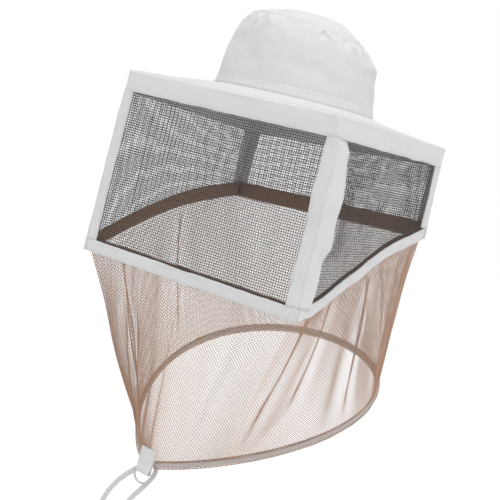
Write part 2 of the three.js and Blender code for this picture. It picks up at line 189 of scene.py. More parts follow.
def wander(point, size, seed=0):
    """A smooth random value between about -1 and 1, which changes over the given size."""
    place = Vector(point) / size + Vector((seed * 7.3, seed * 3.1, seed * 5.7))
    return noise.noise(place)


# %% A section swept along a line
def sweep(name, line, wide, thick, section, closed=False):
    """Carries a closed section, a list of (along wide, along thick), down a line whose
    points each have a wide and a thick direction."""
    line, wide, thick = (np.asarray(v, float) for v in (line, wide, thick))
    section = np.asarray(section, float)
    points = (
        line[:, None]
        + wide[:, None] * section[None, :, :1]
        + thick[:, None] * section[None, :, 1:]
    )
    along, around = lengths(line, closed), lengths(section, True)
    flat = np.stack(np.meshgrid(along, around, indexing="ij"), -1)
    piece = skin(name, points, flat, loop_rows=closed, loop_columns=True, capped=not closed)
    return face_outwards(piece)


def rounded_section(width, thickness, round_share=0.9, steps=4):
    """The outline of a flat strip with rounded edges, width along the first axis."""
    radius = thickness / 2 * round_share
    flat_half = width / 2 - radius
    rise = thickness / 2 - radius
    outline = []
    for centre, start in ((flat_half, -90), (-flat_half, 90)):
        for step in range(steps + 1):
            angle = math.radians(start + 180 * step / steps)
            lift = rise if math.sin(angle) > 0 else -rise
            outline.append((centre + radius * math.cos(angle), lift + radius * math.sin(angle)))
    inner = [(x, outline[steps][1]) for x in np.linspace(flat_half, -flat_half, 4)[1:-1]]
    outer = [(x, outline[0][1]) for x in np.linspace(-flat_half, flat_half, 4)[1:-1]]
    return outline[:steps + 1] + inner + outline[steps + 1:] + outer


# %% Hand a finished piece to the model
def finish(piece, material, body="veil", replaces=()):
    """Gives a piece its finish and its body, and hides the measured nodes that it stands for."""
    piece.data.materials.clear()
    piece.data.materials.append(material)
    face_count = len(piece.data.polygons)
    piece.data.polygons.foreach_set("material_index", np.zeros(face_count, dtype=np.int32))
    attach(piece, body)
    if replaces:
        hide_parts(*replaces)
    print(f"{piece.name}: {face_count} faces, rides on {body}")
    return piece


# %% [markdown]
# ## Node groups for the finishes
# Three effects return in many finishes: the crossing threads of a weave, the soft unevenness
# of a dyed or bleached cloth with painted shade in the weave's gaps, and the fuzz of a yarn.
# Each is a shader group with named inputs, built once. The groups give out only values that
# change over the surface; the shaders and their fixed settings stay in each material.

# %% Small helpers for building node trees
def add_node(tree, kind, inputs=None, **settings):
    """Adds a node, with its settings, and links or sets its inputs by name or by number."""
    node = tree.nodes.new(kind)
    for key, value in settings.items():
        setattr(node, key, value)
    for key, value in (inputs or {}).items():
        socket = node.inputs[key]
        if isinstance(value, bpy.types.NodeSocket):
            tree.links.new(value, socket)
        else:
            socket.default_value = value
    return node


def math_node(tree, operation, *values):
    """A Math node of one operation, and its output."""
    inputs = dict(enumerate(values))
    return add_node(tree, "ShaderNodeMath", inputs, operation=operation).outputs[0]


def new_group(name, kind, inputs, outputs):
    """An empty node group with named sockets, its input node and its output node."""
    tree = bpy.data.node_groups.new(name, kind)
    for title, socket_type, value in inputs:
        socket = tree.interface.new_socket(title, in_out="INPUT", socket_type=socket_type)
        if value is not None:
            socket.default_value = value
    for title, socket_type in outputs:
        tree.interface.new_socket(title, in_out="OUTPUT", socket_type=socket_type)
    return tree, tree.nodes.new("NodeGroupInput"), tree.nodes.new("NodeGroupOutput")


# %% Crossing threads
weave, weave_in, weave_out = new_group(
    "crossing threads", "ShaderNodeTree",
    [("Flat", "NodeSocketVector", None), ("Thread", "NodeSocketFloat", 0.0005)],
    [("Height", "NodeSocketFloat"), ("Gaps", "NodeSocketFloat")],
)
flat_axes = add_node(weave, "ShaderNodeSeparateXYZ", {0: weave_in.outputs["Flat"]})
waves = []
for axis in ("X", "Y"):
    count = math_node(weave, "DIVIDE", flat_axes.outputs[axis], weave_in.outputs["Thread"])
    angle = math_node(weave, "MULTIPLY", count, math.pi)
    waves.append((
        math_node(weave, "SINE", angle),
        math_node(weave, "ABSOLUTE", math_node(weave, "COSINE", angle)),
    ))
both_waves = math_node(weave, "MULTIPLY", waves[0][0], waves[1][0])
checker = math_node(weave, "GREATER_THAN", both_waves, 0.0)
first = math_node(weave, "MULTIPLY", waves[0][1], checker)
second = math_node(weave, "MULTIPLY", waves[1][1], math_node(weave, "SUBTRACT", 1.0, checker))
height = math_node(weave, "ADD", first, second)
weave.links.new(height, weave_out.inputs["Height"])
gaps = math_node(weave, "SUBTRACT", 1.0, height)
weave.links.new(gaps, weave_out.inputs["Gaps"])

# %% Uneven tone, with painted shade in a weave's gaps
tone, tone_in, tone_out = new_group(
    "tone with painted gap shade", "ShaderNodeTree",
    [
        ("Place", "NodeSocketVector", None),
        ("Clean", "NodeSocketColor", (0.8, 0.8, 0.8, 1)),
        ("Dull", "NodeSocketColor", (0.6, 0.6, 0.6, 1)),
        ("Patch", "NodeSocketFloat", 0.03),
        ("Amount", "NodeSocketFloat", 0.3),
        ("Gaps", "NodeSocketFloat", 0.0),
    ],
    [("Color", "NodeSocketColor"), ("Roughness", "NodeSocketFloat")],
)
patch_scale = math_node(tone, "DIVIDE", 1.0, tone_in.outputs["Patch"])
patches = add_node(tone, "ShaderNodeTexNoise", {
    "Vector": tone_in.outputs["Place"], "Scale": patch_scale, "Detail": 4.0, "Roughness": 0.6,
})
patch_mask = math_node(tone, "MULTIPLY", patches.outputs[0], tone_in.outputs["Amount"])
# Painted shade: the gaps between a weave's threads are painted part way to the dull colour.
painted_gap_shade = math_node(tone, "MULTIPLY", tone_in.outputs["Gaps"], 0.35)
patch_and_gap_shade_mask = add_node(
    tone, "ShaderNodeMath", {0: patch_mask, 1: painted_gap_shade}, operation="ADD", use_clamp=True)
mixed = add_node(tone, "ShaderNodeMix", {
    "Factor": patch_and_gap_shade_mask.outputs[0], 6: tone_in.outputs["Clean"], 7: tone_in.outputs["Dull"],
}, data_type="RGBA")
tone.links.new(mixed.outputs[2], tone_out.inputs["Color"])
rough = add_node(tone, "ShaderNodeMapRange", {
    "Value": patches.outputs[0], "To Min": 0.7, "To Max": 0.95,
})
tone.links.new(rough.outputs[0], tone_out.inputs["Roughness"])

# %% Yarn fuzz
fuzz, fuzz_in, fuzz_out = new_group(
    "yarn fuzz", "ShaderNodeTree",
    [("Place", "NodeSocketVector", None), ("Fibre", "NodeSocketFloat", 0.0004)],
    [("Height", "NodeSocketFloat")],
)
fibre_scale = math_node(fuzz, "DIVIDE", 1.0, fuzz_in.outputs["Fibre"])
fibres = add_node(fuzz, "ShaderNodeTexNoise", {
    "Vector": fuzz_in.outputs["Place"], "Scale": fibre_scale, "Detail": 2.0,
})
fuzz.links.new(fibres.outputs[0], fuzz_out.inputs["Height"])
print("shader groups:", [g.name for g in bpy.data.node_groups])


# %% Materials from the groups
def new_material(name, settings):
    """A material, its node tree, its shader with fixed settings, and object coordinates."""
    material = bpy.data.materials.new(name)
    material.use_nodes = True
    tree = material.node_tree
    shader = tree.nodes["Principled BSDF"]
    for socket, value in settings.items():
        shader.inputs[socket].default_value = value
    return material, tree, shader, add_node(tree, "ShaderNodeTexCoord").outputs["Object"]


def toned(tree, place, clean, dull, patch, amount):
    """The tone of one finish: random patches, and painted shade in a weave's gaps once they are linked."""
    return add_node(tree, "ShaderNodeGroup", {
        "Place": place, "Clean": (*clean, 1), "Dull": (*dull, 1), "Patch": patch, "Amount": amount,
    }, node_tree=tone)


def cloth_material(name, clean, dull, thread, patch=0.03, depth=0.0002, quarter=0.0):
    """Woven cloth: tone in space and painted shade in the weave's gaps, threads on the flat map, turned by
    quarter if braided.
    """
    settings = {"Sheen Weight": 0.25, "Sheen Roughness": 0.5, "Specular IOR Level": 0.25}
    material, tree, shader, place = new_material(name, settings)
    flat = add_node(tree, "ShaderNodeUVMap", uv_map="cloth")
    turned = add_node(tree, "ShaderNodeMapping", {"Vector": flat.outputs[0], "Rotation": (0, 0, quarter)})
    threads = add_node(tree, "ShaderNodeGroup", {"Flat": turned.outputs[0], "Thread": thread},
                       node_tree=weave)
    colour = toned(tree, place, clean, dull, patch, 0.35)
    # Painted shade: the weave's gaps darken the cloth's colour.
    tree.links.new(threads.outputs["Gaps"], colour.inputs["Gaps"])
    hairs = add_node(tree, "ShaderNodeGroup", {"Place": place}, node_tree=fuzz)
    surface = math_node(tree, "ADD", threads.outputs["Height"], hairs.outputs["Height"])
    bump = add_node(tree, "ShaderNodeBump", {"Height": surface, "Strength": 0.6, "Distance": depth})
    tree.links.new(colour.outputs["Color"], shader.inputs["Base Color"])
    tree.links.new(colour.outputs["Roughness"], shader.inputs["Roughness"])
    tree.links.new(bump.outputs[0], shader.inputs["Normal"])
    return material


def yarn_material(name, clean, dull, fibre, patch, roughness=0.7, sheen=0.2):
    """One thin yarn or wire, too thin for a weave: only tone and fuzz."""
    settings = {"Roughness": roughness, "Sheen Weight": sheen}
    material, tree, shader, place = new_material(name, settings)
    colour = toned(tree, place, clean, dull, patch, 0.6)
    hairs = add_node(tree, "ShaderNodeGroup", {"Place": place, "Fibre": fibre}, node_tree=fuzz)
    bump = add_node(tree, "ShaderNodeBump", {
        "Height": hairs.outputs[0], "Strength": 0.4, "Distance": 0.0001,
    })
    tree.links.new(colour.outputs["Color"], shader.inputs["Base Color"])
    tree.links.new(bump.outputs[0], shader.inputs["Normal"])
    return material


# %% The finishes of this hat
hat_cotton = cloth_material("hat cotton", (0.76, 0.76, 0.765), (0.62, 0.62, 0.63), 0.00045)
band_cotton = cloth_material("band cotton", (0.80, 0.80, 0.80), (0.66, 0.66, 0.67), 0.00045)
twill_tape = cloth_material("twill tape", (0.76, 0.76, 0.765), (0.60, 0.60, 0.61), 0.0006,
                            quarter=math.radians(45))
webbing = cloth_material("tab webbing", (0.78, 0.78, 0.78), (0.58, 0.58, 0.58), 0.0009, depth=0.0003)
cord_braid = cloth_material("cord braid", (0.78, 0.78, 0.775), (0.52, 0.52, 0.52), 0.0008,
                            patch=0.01, depth=0.0004, quarter=math.radians(45))
brown_tape = cloth_material("net binding", (0.33, 0.195, 0.13), (0.19, 0.115, 0.08), 0.0006)
wire_finish = yarn_material("coated wire", (0.075, 0.066, 0.062), (0.03, 0.027, 0.025), 0.0003, 0.004,
                            roughness=0.5, sheen=0.0)
net_yarn = yarn_material("net yarn", (0.60, 0.365, 0.245), (0.44, 0.26, 0.175), 0.0003, 0.02)
sewing_thread = yarn_material("sewing thread", (0.74, 0.74, 0.74), (0.52, 0.52, 0.52), 0.0002, 0.002)

# %% The ring's nickel plate
nickel, plating, plate, plate_place = new_material("nickel plate", {"Metallic": 1.0})
plate_tone = toned(plating, plate_place, (0.62, 0.62, 0.63), (0.40, 0.40, 0.41), 0.004, 0.3)
scuffs = add_node(plating, "ShaderNodeTexNoise", {"Vector": plate_place, "Scale": 900.0, "Detail": 3.0})
scuff_range = add_node(plating, "ShaderNodeMapRange", {
    "Value": scuffs.outputs[0], "To Min": 0.16, "To Max": 0.38,
})
scuff_bump = add_node(plating, "ShaderNodeBump", {
    "Height": scuffs.outputs[0], "Strength": 0.15, "Distance": 0.0001,
})
plating.links.new(plate_tone.outputs["Color"], plate.inputs["Base Color"])
plating.links.new(scuff_range.outputs[0], plate.inputs["Roughness"])
plating.links.new(scuff_bump.outputs[0], plate.inputs["Normal"])
print("finishes:", [m.name for m in bpy.data.materials])

# %% [markdown]
# ## The drawcord's two free ends
# A flat braided cord runs round the hem and leaves it by two mouths at the front. Each end
# hangs down in front of the wearer and is put away in a small hank, held by a tie, with a
# knot at its tip. The route is written as points and smoothed, because a simulated cord
# would not keep to the room that the measured model gives it.

# %% Sizes of the cord and its hank
cord_width, cord_thickness = 0.006, 0.002
hank_radius, hank_run, hank_pitch, hank_turns = 0.017, 0.066, 0.007, 2
knot_radius = 0.005
cord_routes = {  # which way each hank stacks, and the route's points in millimetres
    "left": (-1, [
        (16.7, -126.5, -446.4), (12.2, -129.2, -447.6), (7.6, -131.0, -448.7), (2.6, -132.0, -450.4),
        (-2.6, -132.4, -452.8), (-8.0, -132.6, -456.2), (-14.5, -132.8, -461.2), (-21.5, -133.2, -467.8),
        (-28.5, -133.8, -475.4), (-34.5, -134.4, -483.2), (-39.8, -135.0, -491.6), (-44.6, -135.6, -501.0),
        (-48.4, -136.0, -511.0), (-51.2, -136.0, -521.5), (-52.0, -136.0, -543.0),
    ]),
    "right": (1, [
        (-7.4, -129.9, -448.6), (-4.2, -129.2, -448.5), (0.2, -127.6, -449.2), (4.8, -126.0, -451.0),
        (7.8, -125.2, -454.4), (8.0, -125.1, -459.2), (6.4, -125.4, -464.6), (3.8, -126.3, -470.2),
        (0.6, -127.4, -475.8), (-2.8, -128.6, -481.4), (-6.4, -129.8, -487.0), (-10.0, -130.9, -492.6),
        (-13.6, -131.9, -499.0), (-16.6, -132.8, -506.2), (-18.6, -133.4, -514.0), (-19.7, -133.8, -522.0),
        (-20.0, -134.0, -543.0),
    ]),
}


# %% A smooth line through a route's points
def smooth_line(route, step):
    """A Catmull-Rom curve through the points, resampled at an even step."""
    route = [Vector(p) for p in route]
    ends = [2 * route[0] - route[1], *route, 2 * route[-1] - route[-2]]
    fine = []
    for a, b, c, d in zip(ends, ends[1:], ends[2:], ends[3:]):
        for t in np.linspace(0, 1, 12, endpoint=False):
            fine.append(0.5 * (2 * b + (c - a) * t + (2 * a - 5 * b + 4 * c - d) * t**2
                               + (3 * b - 3 * c + d - a) * t**3))
    fine.append(ends[-2])
    far = lengths(fine)
    places = np.linspace(0, far[-1], max(2, round(far[-1] / step)))
    fine = np.array(fine, float)
    return np.stack([np.interp(places, far, fine[:, k]) for k in range(3)], -1)


def hank_line(foot, side, end_drop):
    """The racetrack turns of a hank from its foot, and the tail down to the knot."""
    bend = math.pi * hank_radius
    lap = 2 * hank_run + 2 * bend
    total = hank_turns * lap + hank_run
    line = []
    for along in np.arange(0, total, 0.0035):
        far = along % lap
        x = foot[0] + side * hank_pitch * min(along / lap, hank_turns)
        if far < hank_run:
            y, z = 0, -far
        elif far < hank_run + bend:
            angle = (far - hank_run) / hank_radius
            y, z = hank_radius * (1 - math.cos(angle)), -hank_run - hank_radius * math.sin(angle)
        elif far < 2 * hank_run + bend:
            y, z = 2 * hank_radius, -hank_run + (far - hank_run - bend)
        else:
            angle = (far - 2 * hank_run - bend) / hank_radius
            y, z = hank_radius * (1 + math.cos(angle)), hank_radius * math.sin(angle)
        line.append((x, foot[1] + y, foot[2] + z))
    last_x = foot[0] + side * hank_pitch * hank_turns
    for drop in np.linspace(hank_run, end_drop, 12):
        line.append((last_x, foot[1], foot[2] - drop))
    return np.array(line)


# %% Sweep, tie and knot each end
def cord_section():
    """A flat braid with nearly round edges."""
    return rounded_section(cord_width, cord_thickness, 0.95)


def knot_piece(name, centre, radius):
    """An overhand knot pulled tight: a three-lobed loop of the same cord."""
    turns = np.linspace(0, 2 * math.pi, 72, endpoint=False)
    size = radius / 4.4
    loop = np.stack([
        size * (np.sin(turns) + 2 * np.sin(2 * turns)),
        size * 1.5 * np.sin(3 * turns),
        size * (np.cos(turns) - 2 * np.cos(2 * turns)),
    ], -1) + np.array(centre)
    ahead = loop_heading(loop)
    wide = unit(np.cross(ahead, loop - np.array(centre)))
    thick = np.cross(wide, ahead)
    section = rounded_section(radius * 0.62, radius * 0.42, 0.95)
    return sweep(name, loop, wide, thick, section, closed=True)


def tie_piece(name, low, high):
    """A band wound round the hank, with three soft ridges where its turns lie."""
    tall = high[2] - low[2]
    middle = (np.array(low) + np.array(high)) / 2
    half = (np.array(high) - np.array(low))[:2] / 2 - 0.0006
    path = []
    for turn in np.linspace(0, 2 * math.pi, 64, endpoint=False):
        c, s = math.cos(turn), math.sin(turn)
        reach = (abs(c) ** 5 + abs(s) ** 5) ** -0.2
        path.append((middle[0] + half[0] * c * reach, middle[1] + half[1] * s * reach, middle[2]))
    path = np.array(path)
    upright_axis = np.tile((0, 0, 1.0), (len(path), 1))
    outward = np.cross(loop_heading(path), upright_axis)
    section = [
        (tall * (k / 24 - 0.5), 0.0003 + 0.0004 * abs(math.sin(math.pi * k / 8)))
        for k in range(25)
    ]
    section += [(tall * 0.5, -0.0004), (tall * -0.5, -0.0004)]
    return sweep(name, path, upright_axis, outward, section, closed=True)


for end, (side, route) in cord_routes.items():
    start = smooth_line(np.array(route) / 1000, 0.003)
    knot_low, knot_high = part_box(f"cord_knot_{end}")
    knot_centre = (knot_low + knot_high) / 2
    foot = start[-1]
    hanging = hank_line(foot, side, foot[2] - knot_centre[2] - 0.001)
    line = np.concatenate([start, hanging[1:]])
    ahead = unit(np.gradient(line, axis=0))
    wide = np.cross(ahead, (0, 1.0, 0))
    wide[len(start) - 1:] = (1, 0, 0)
    wide = unit(wide)
    thick = np.cross(wide, ahead)
    free_cord = sweep(f"free_cord_{end}", line, wide, thick, cord_section())
    finish(free_cord, cord_braid,
           replaces=(f"cord_end_{end}", f"cord_hank_{end}", f"cord_tail_{end}"))
    knot = knot_piece(f"tip_knot_{end}", knot_centre, knot_radius)
    finish(knot, cord_braid, replaces=(f"cord_knot_{end}",))
    tie = tie_piece(f"hank_band_{end}", *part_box(f"hank_tie_{end}"))
    finish(tie, twill_tape, replaces=(f"hank_tie_{end}",))
    cord_length = float(lengths(line)[-1])
    print(f"free cord {end}: {cord_length:.3f} m")

# %% [markdown]
# ## Floor and light
# White cloth needs soft light with a little direction, or its folds vanish. A pale floor
# that runs to the horizon and a bright, even sky stand in for a white studio sweep, with one
# large soft lamp overhead and a smaller one on each side. The camera sees the floor and the
# sky whiter than the hat does, which keeps their light from washing out the thin net.

# %% Floor, sky and lamps
floor_height = cad_box[0][2] - 0.004
floor_reach = 60
floor = skin("studio_floor", [
    [(x, y, floor_height) for x in (-floor_reach, floor_reach)] for y in (-floor_reach, floor_reach)
])
floor.data.flip_normals()
floor_finish = bpy.data.materials.new("pale floor")
floor_finish.use_nodes = True
floor_shader = floor_finish.node_tree.nodes["Principled BSDF"]
floor_shader.inputs["Base Color"].default_value = (0.85, 0.85, 0.85, 1)
floor_shader.inputs["Roughness"].default_value = 0.9
floor_tree = floor_finish.node_tree
floor_ray = add_node(floor_tree, "ShaderNodeLightPath")
floor_glow = add_node(floor_tree, "ShaderNodeEmission", {"Color": (1, 1, 1, 1), "Strength": 1.06})
floor_seen = math_node(floor_tree, "MULTIPLY", floor_ray.outputs["Is Camera Ray"], 0.92)
floor_mix = add_node(floor_tree, "ShaderNodeMixShader", {
    0: floor_seen, 1: floor_shader.outputs[0], 2: floor_glow.outputs[0],
})
floor_tree.links.new(floor_mix.outputs[0], floor_tree.nodes["Material Output"].inputs["Surface"])
floor.data.materials.append(floor_finish)

world = bpy.data.worlds.new("white studio")
scene.world = world
world.use_nodes = True
sky = world.node_tree
sky_light = sky.nodes["Background"]
sky_light.inputs["Color"].default_value = (1, 1, 1, 1)
sky_light.inputs["Strength"].default_value = 0.72
seen_sky = add_node(sky, "ShaderNodeBackground", {"Color": (1, 1, 1, 1), "Strength": 1.0})
ray = add_node(sky, "ShaderNodeLightPath")
sky_choice = add_node(sky, "ShaderNodeMixShader", {
    0: ray.outputs["Is Camera Ray"], 1: sky_light.outputs[0], 2: seen_sky.outputs[0],
})
sky.links.new(sky_choice.outputs[0], sky.nodes["World Output"].inputs["Surface"])


def soft_lamp(name, place, power, size):
    """A square area lamp that points at the middle of the hat."""
    lamp = bpy.data.lights.new(name, "AREA")
    lamp.shape = "SQUARE"
    lamp.size = size
    lamp.energy = power
    holder = placed(name, lamp)
    holder.location = place
    holder.rotation_euler = (aim - Vector(place)).to_track_quat("-Z", "Y").to_euler()
    print(f"{name}: {power} W, {size} m across")


soft_lamp("top_lamp", (0.1, -0.5, 2.6), 30, 2.2)
soft_lamp("key_lamp", (-1.2, -1.9, 1.5), 9, 1.6)
soft_lamp("fill_lamp", (2.3, -0.6, 1.3), 18, 1.6)
scene.view_settings.view_transform = "Standard"
scene.view_settings.look = "None"

# %% [markdown]
# ## Threads and stitches by rule
# Woven wire, knitted net and stitching are thousands of like parts that follow a surface or a
# seam, which is what Geometry Nodes are good at. The first tree lays threads on the flat cloth
# as a plan, looks up where each point of the plan lies on the hung cloth, and gives every
# thread a round body. A wire cloth crosses over and under; a net sways from side to side so
# that neighbours meet. The second tree drops a short stitch at even steps along a seam.

# %% Threads over a cloth
plan_inputs = [
    ("Cloth", "NodeSocketGeometry", None), ("Columns", "NodeSocketInt", 10), ("Rows", "NodeSocketInt", 10),
    ("Pitch", "NodeSocketFloat", 0.003), ("Row", "NodeSocketFloat", 0.003),
    ("Start", "NodeSocketFloat", 0.0), ("Sway", "NodeSocketFloat", 0.0), ("Lift", "NodeSocketFloat", 0.0),
    ("Radius", "NodeSocketFloat", 0.0003), ("Sides", "NodeSocketInt", 3),
    ("Crossed", "NodeSocketBool", False), ("Finish", "NodeSocketMaterial", None),
]
threads_tree, plan, threads_out = new_group(
    "threads over a cloth", "GeometryNodeTree", plan_inputs, [("Threads", "NodeSocketGeometry")],
)
plan = plan.outputs


def plan_math(operation, *values):
    """A Math node in the tree of threads."""
    return math_node(threads_tree, operation, *values)


def laid_lines(first_count, first_step, second_count, second_step, along_x):
    """Parallel lines with a point at every crossing, on the flat plan."""
    def place(along, across_it):
        ends = (across_it, along) if not along_x else (along, across_it)
        shift = plan_math("ADD", plan["Start"], ends[0])
        return add_node(threads_tree, "ShaderNodeCombineXYZ", {0: shift, 1: ends[1]}).outputs[0]
    zero = plan_math("MULTIPLY", plan["Pitch"], 0.0)
    far = plan_math("MULTIPLY", second_count, second_step)
    line = add_node(threads_tree, "GeometryNodeCurvePrimitiveLine", {
        "Start": place(zero, zero), "End": place(far, zero),
    })
    points = add_node(threads_tree, "GeometryNodeResampleCurve", {
        "Curve": line.outputs[0], "Count": plan_math("ADD", second_count, 1.0),
    })
    step = add_node(threads_tree, "ShaderNodeCombineXYZ", {(1 if along_x else 0): first_step})
    stations = add_node(threads_tree, "GeometryNodeMeshLine", {
        "Count": plan_math("ADD", first_count, 1.0), "Offset": step.outputs[0],
    })
    copies = add_node(threads_tree, "GeometryNodeInstanceOnPoints", {
        "Points": stations.outputs[0], "Instance": points.outputs[0],
    })
    return add_node(threads_tree, "GeometryNodeRealizeInstances", {0: copies.outputs[0]}).outputs[0]


flat_place = add_node(threads_tree, "GeometryNodeInputPosition")
flat_parts = add_node(threads_tree, "ShaderNodeSeparateXYZ", {0: flat_place.outputs[0]})
from_start = plan_math("SUBTRACT", flat_parts.outputs[0], plan["Start"])
column = plan_math("ROUND", plan_math("DIVIDE", from_start, plan["Pitch"]))
row = plan_math("ROUND", plan_math("DIVIDE", flat_parts.outputs[1], plan["Row"]))
odd = plan_math("FLOORED_MODULO", plan_math("ADD", column, row), 2.0)
turn_sign = plan_math("SUBTRACT", 1.0, plan_math("MULTIPLY", odd, 2.0))
sway = plan_math("MULTIPLY", plan_math("MULTIPLY", turn_sign, plan["Sway"]),
                 plan["Pitch"])
swayed = add_node(threads_tree, "ShaderNodeCombineXYZ", {
    0: plan_math("ADD", flat_parts.outputs[0], sway), 1: flat_parts.outputs[1],
}).outputs[0]
flat_map = add_node(threads_tree, "GeometryNodeInputNamedAttribute", {"Name": "cloth"},
                    data_type="FLOAT_VECTOR").outputs[0]
cloth_place = add_node(threads_tree, "GeometryNodeInputPosition").outputs[0]
cloth_normal = add_node(threads_tree, "GeometryNodeInputNormal").outputs[0]


def hung(lines, lift_sign):
    """The flat lines moved to where the cloth hangs, and raised or sunk at each crossing."""
    looked_up = [add_node(threads_tree, "GeometryNodeSampleUVSurface",
                          {0: plan["Cloth"], 1: value, 2: flat_map, 3: swayed}, data_type="FLOAT_VECTOR")
                 for value in (cloth_place, cloth_normal)]
    off_cloth = plan_math("SUBTRACT", 1.0, looked_up[0].outputs[1])
    kept = add_node(threads_tree, "GeometryNodeDeleteGeometry", {"Geometry": lines, "Selection": off_cloth})
    lift = plan_math("MULTIPLY", plan_math("MULTIPLY", turn_sign, plan["Lift"]),
                     lift_sign)
    raised = add_node(threads_tree, "ShaderNodeVectorMath", {0: looked_up[1].outputs[0], 3: lift},
                      operation="SCALE").outputs[0]
    placed = add_node(threads_tree, "ShaderNodeVectorMath", {0: looked_up[0].outputs[0], 1: raised},
                      operation="ADD").outputs[0]
    return add_node(threads_tree, "GeometryNodeSetPosition",
                    {"Geometry": kept.outputs[0], "Position": placed}).outputs[0]


down = hung(laid_lines(plan["Columns"], plan["Pitch"], plan["Rows"], plan["Row"], False), 1.0)
over = hung(laid_lines(plan["Rows"], plan["Row"], plan["Columns"], plan["Pitch"], True), -1.0)
crossing = add_node(threads_tree, "GeometryNodeSwitch", {"Switch": plan["Crossed"], "True": over},
                    input_type="GEOMETRY").outputs[0]
both = add_node(threads_tree, "GeometryNodeJoinGeometry", {0: down})
threads_tree.links.new(crossing, both.inputs[0])
round_wire = add_node(threads_tree, "GeometryNodeCurvePrimitiveCircle",
                      {"Resolution": plan["Sides"], "Radius": plan["Radius"]})
bodies = add_node(threads_tree, "GeometryNodeCurveToMesh",
                  {"Curve": both.outputs[0], "Profile Curve": round_wire.outputs[0]})
smooth = add_node(threads_tree, "GeometryNodeSetShadeSmooth", {0: bodies.outputs[0]})
real = add_node(threads_tree, "GeometryNodeRealizeInstances", {0: smooth.outputs[0]})
dressed = add_node(threads_tree, "GeometryNodeSetMaterial",
                   {"Geometry": real.outputs[0], "Material": plan["Finish"]})
threads_tree.links.new(dressed.outputs[0], threads_out.inputs[0])

# %% Stitches along a seam
stitch_tree, seam, stitch_out = new_group(
    "stitches along a seam", "GeometryNodeTree",
    [
        ("Seam", "NodeSocketGeometry", None), ("Step", "NodeSocketFloat", 0.0032),
        ("Stitch", "NodeSocketFloat", 0.0024), ("Thickness", "NodeSocketFloat", 0.0006),
        ("Finish", "NodeSocketMaterial", None),
    ],
    [("Stitches", "NodeSocketGeometry")],
)
seam = seam.outputs
seam_curve = add_node(stitch_tree, "GeometryNodeMeshToCurve", {0: seam["Seam"]})
stations = add_node(stitch_tree, "GeometryNodeResampleCurve",
                    {"Curve": seam_curve.outputs[0], "Length": seam["Step"]}, mode="LENGTH")
heading = add_node(stitch_tree, "FunctionNodeAlignRotationToVector",
                   {"Vector": add_node(stitch_tree, "GeometryNodeInputTangent").outputs[0]}, axis="Z")
bead = add_node(stitch_tree, "GeometryNodeMeshUVSphere", {"Segments": 5, "Rings": 4, "Radius": 0.5})
bead_size = add_node(stitch_tree, "ShaderNodeCombineXYZ",
                     {0: seam["Thickness"], 1: seam["Thickness"], 2: seam["Stitch"]})
sewn = add_node(stitch_tree, "GeometryNodeInstanceOnPoints", {
    "Points": stations.outputs[0], "Instance": bead.outputs[0], "Rotation": heading.outputs[0],
    "Scale": bead_size.outputs[0],
})
sewn_real = add_node(stitch_tree, "GeometryNodeRealizeInstances", {0: sewn.outputs[0]})
sewn_smooth = add_node(stitch_tree, "GeometryNodeSetShadeSmooth", {0: sewn_real.outputs[0]})
sewn_dressed = add_node(stitch_tree, "GeometryNodeSetMaterial",
                        {"Geometry": sewn_smooth.outputs[0], "Material": seam["Finish"]})
stitch_tree.links.new(sewn_dressed.outputs[0], stitch_out.inputs[0])


# %% Run a tree and keep its result
def grow(name, source, tree, **values):
    """Runs a node tree on a source piece and keeps the result as a plain mesh of its own."""
    modifier = source.modifiers.new("grow", "NODES")
    modifier.node_group = tree
    for item in tree.interface.items_tree:
        if item.in_out == "INPUT" and item.name in values:
            modifier[item.identifier] = values[item.name]
    bpy.context.view_layer.update()
    evaluated = source.evaluated_get(bpy.context.evaluated_depsgraph_get())
    mesh = bpy.data.meshes.new_from_object(evaluated)
    source.modifiers.remove(modifier)
    return placed(name, mesh)


def discard(piece):
    """Removes a helper piece that isn't part of the hat."""
    bpy.data.objects.remove(piece)


def crumple(piece, amount, size, seed, axes=(1, 1, 1)):
    """Moves a piece's points by a slow random wander, as handled cloth has."""
    for vertex in piece.data.vertices:
        shift = Vector([wander(vertex.co, size, seed + 3 * k) * axes[k] for k in range(3)])
        vertex.co += shift * amount


seams = []  # every stitched line, as (points, closed)

# %% [markdown]
# ## The crown
# A cotton crown is a side panel eased into a round top, so that small tucks gather under the
# seam, and worn cloth slumps a little to one side. Cloth simulation would smooth away the
# tucks, so the side is shaped by rule: a curved profile turned about the head, lowered where
# it slumps, with a dent and a ridge for each tuck and a slow wander over all of it.

# %% Profile of the crown
crown_base = 0.0988
crown_peak = 0.1050
crown_middle = (-0.0028, -0.0011)
crown_seam_radius = 0.0715
crown_seam_height = 0.0905
slump_depth = 0.0125
slump_at = math.radians(108)
tucks = [  # degrees round from the face, and how strongly the cloth is gathered there
    (-38, 4.6), (-28, 2.2), (-12, 3.6), (10, 1.2), (43, 4.0), (66, 3.8), (82, 2.4),
    (98, 3.0), (140, 3.2), (172, 2.0), (196, 3.6), (232, 3.0), (262, 2.2), (286, 2.6),
]
tuck_dent = 0.0012  # for a gathering of 1
tuck_ridge = 0.0009
tuck_width = 0.0028  # at the seam; a tuck widens below it
tuck_share = 0.90  # where on the side panel a tuck is deepest


def round_spot(turn, radius, z):
    """A point of the crown, a turn round from the face, about the worn crown's own middle."""
    return (crown_middle[0] + math.sin(turn) * radius, crown_middle[1] - math.cos(turn) * radius, z)


def seam_height(turn):
    """The height of the seam between side and top, which slumps on one side."""
    return crown_seam_height - slump_depth * (0.5 + 0.5 * math.cos(turn - slump_at))**1.6


def seam_radius(turn):
    """The seam's distance from the middle, less on the slumped side."""
    return crown_seam_radius - 0.0025 * math.cos(turn - slump_at)


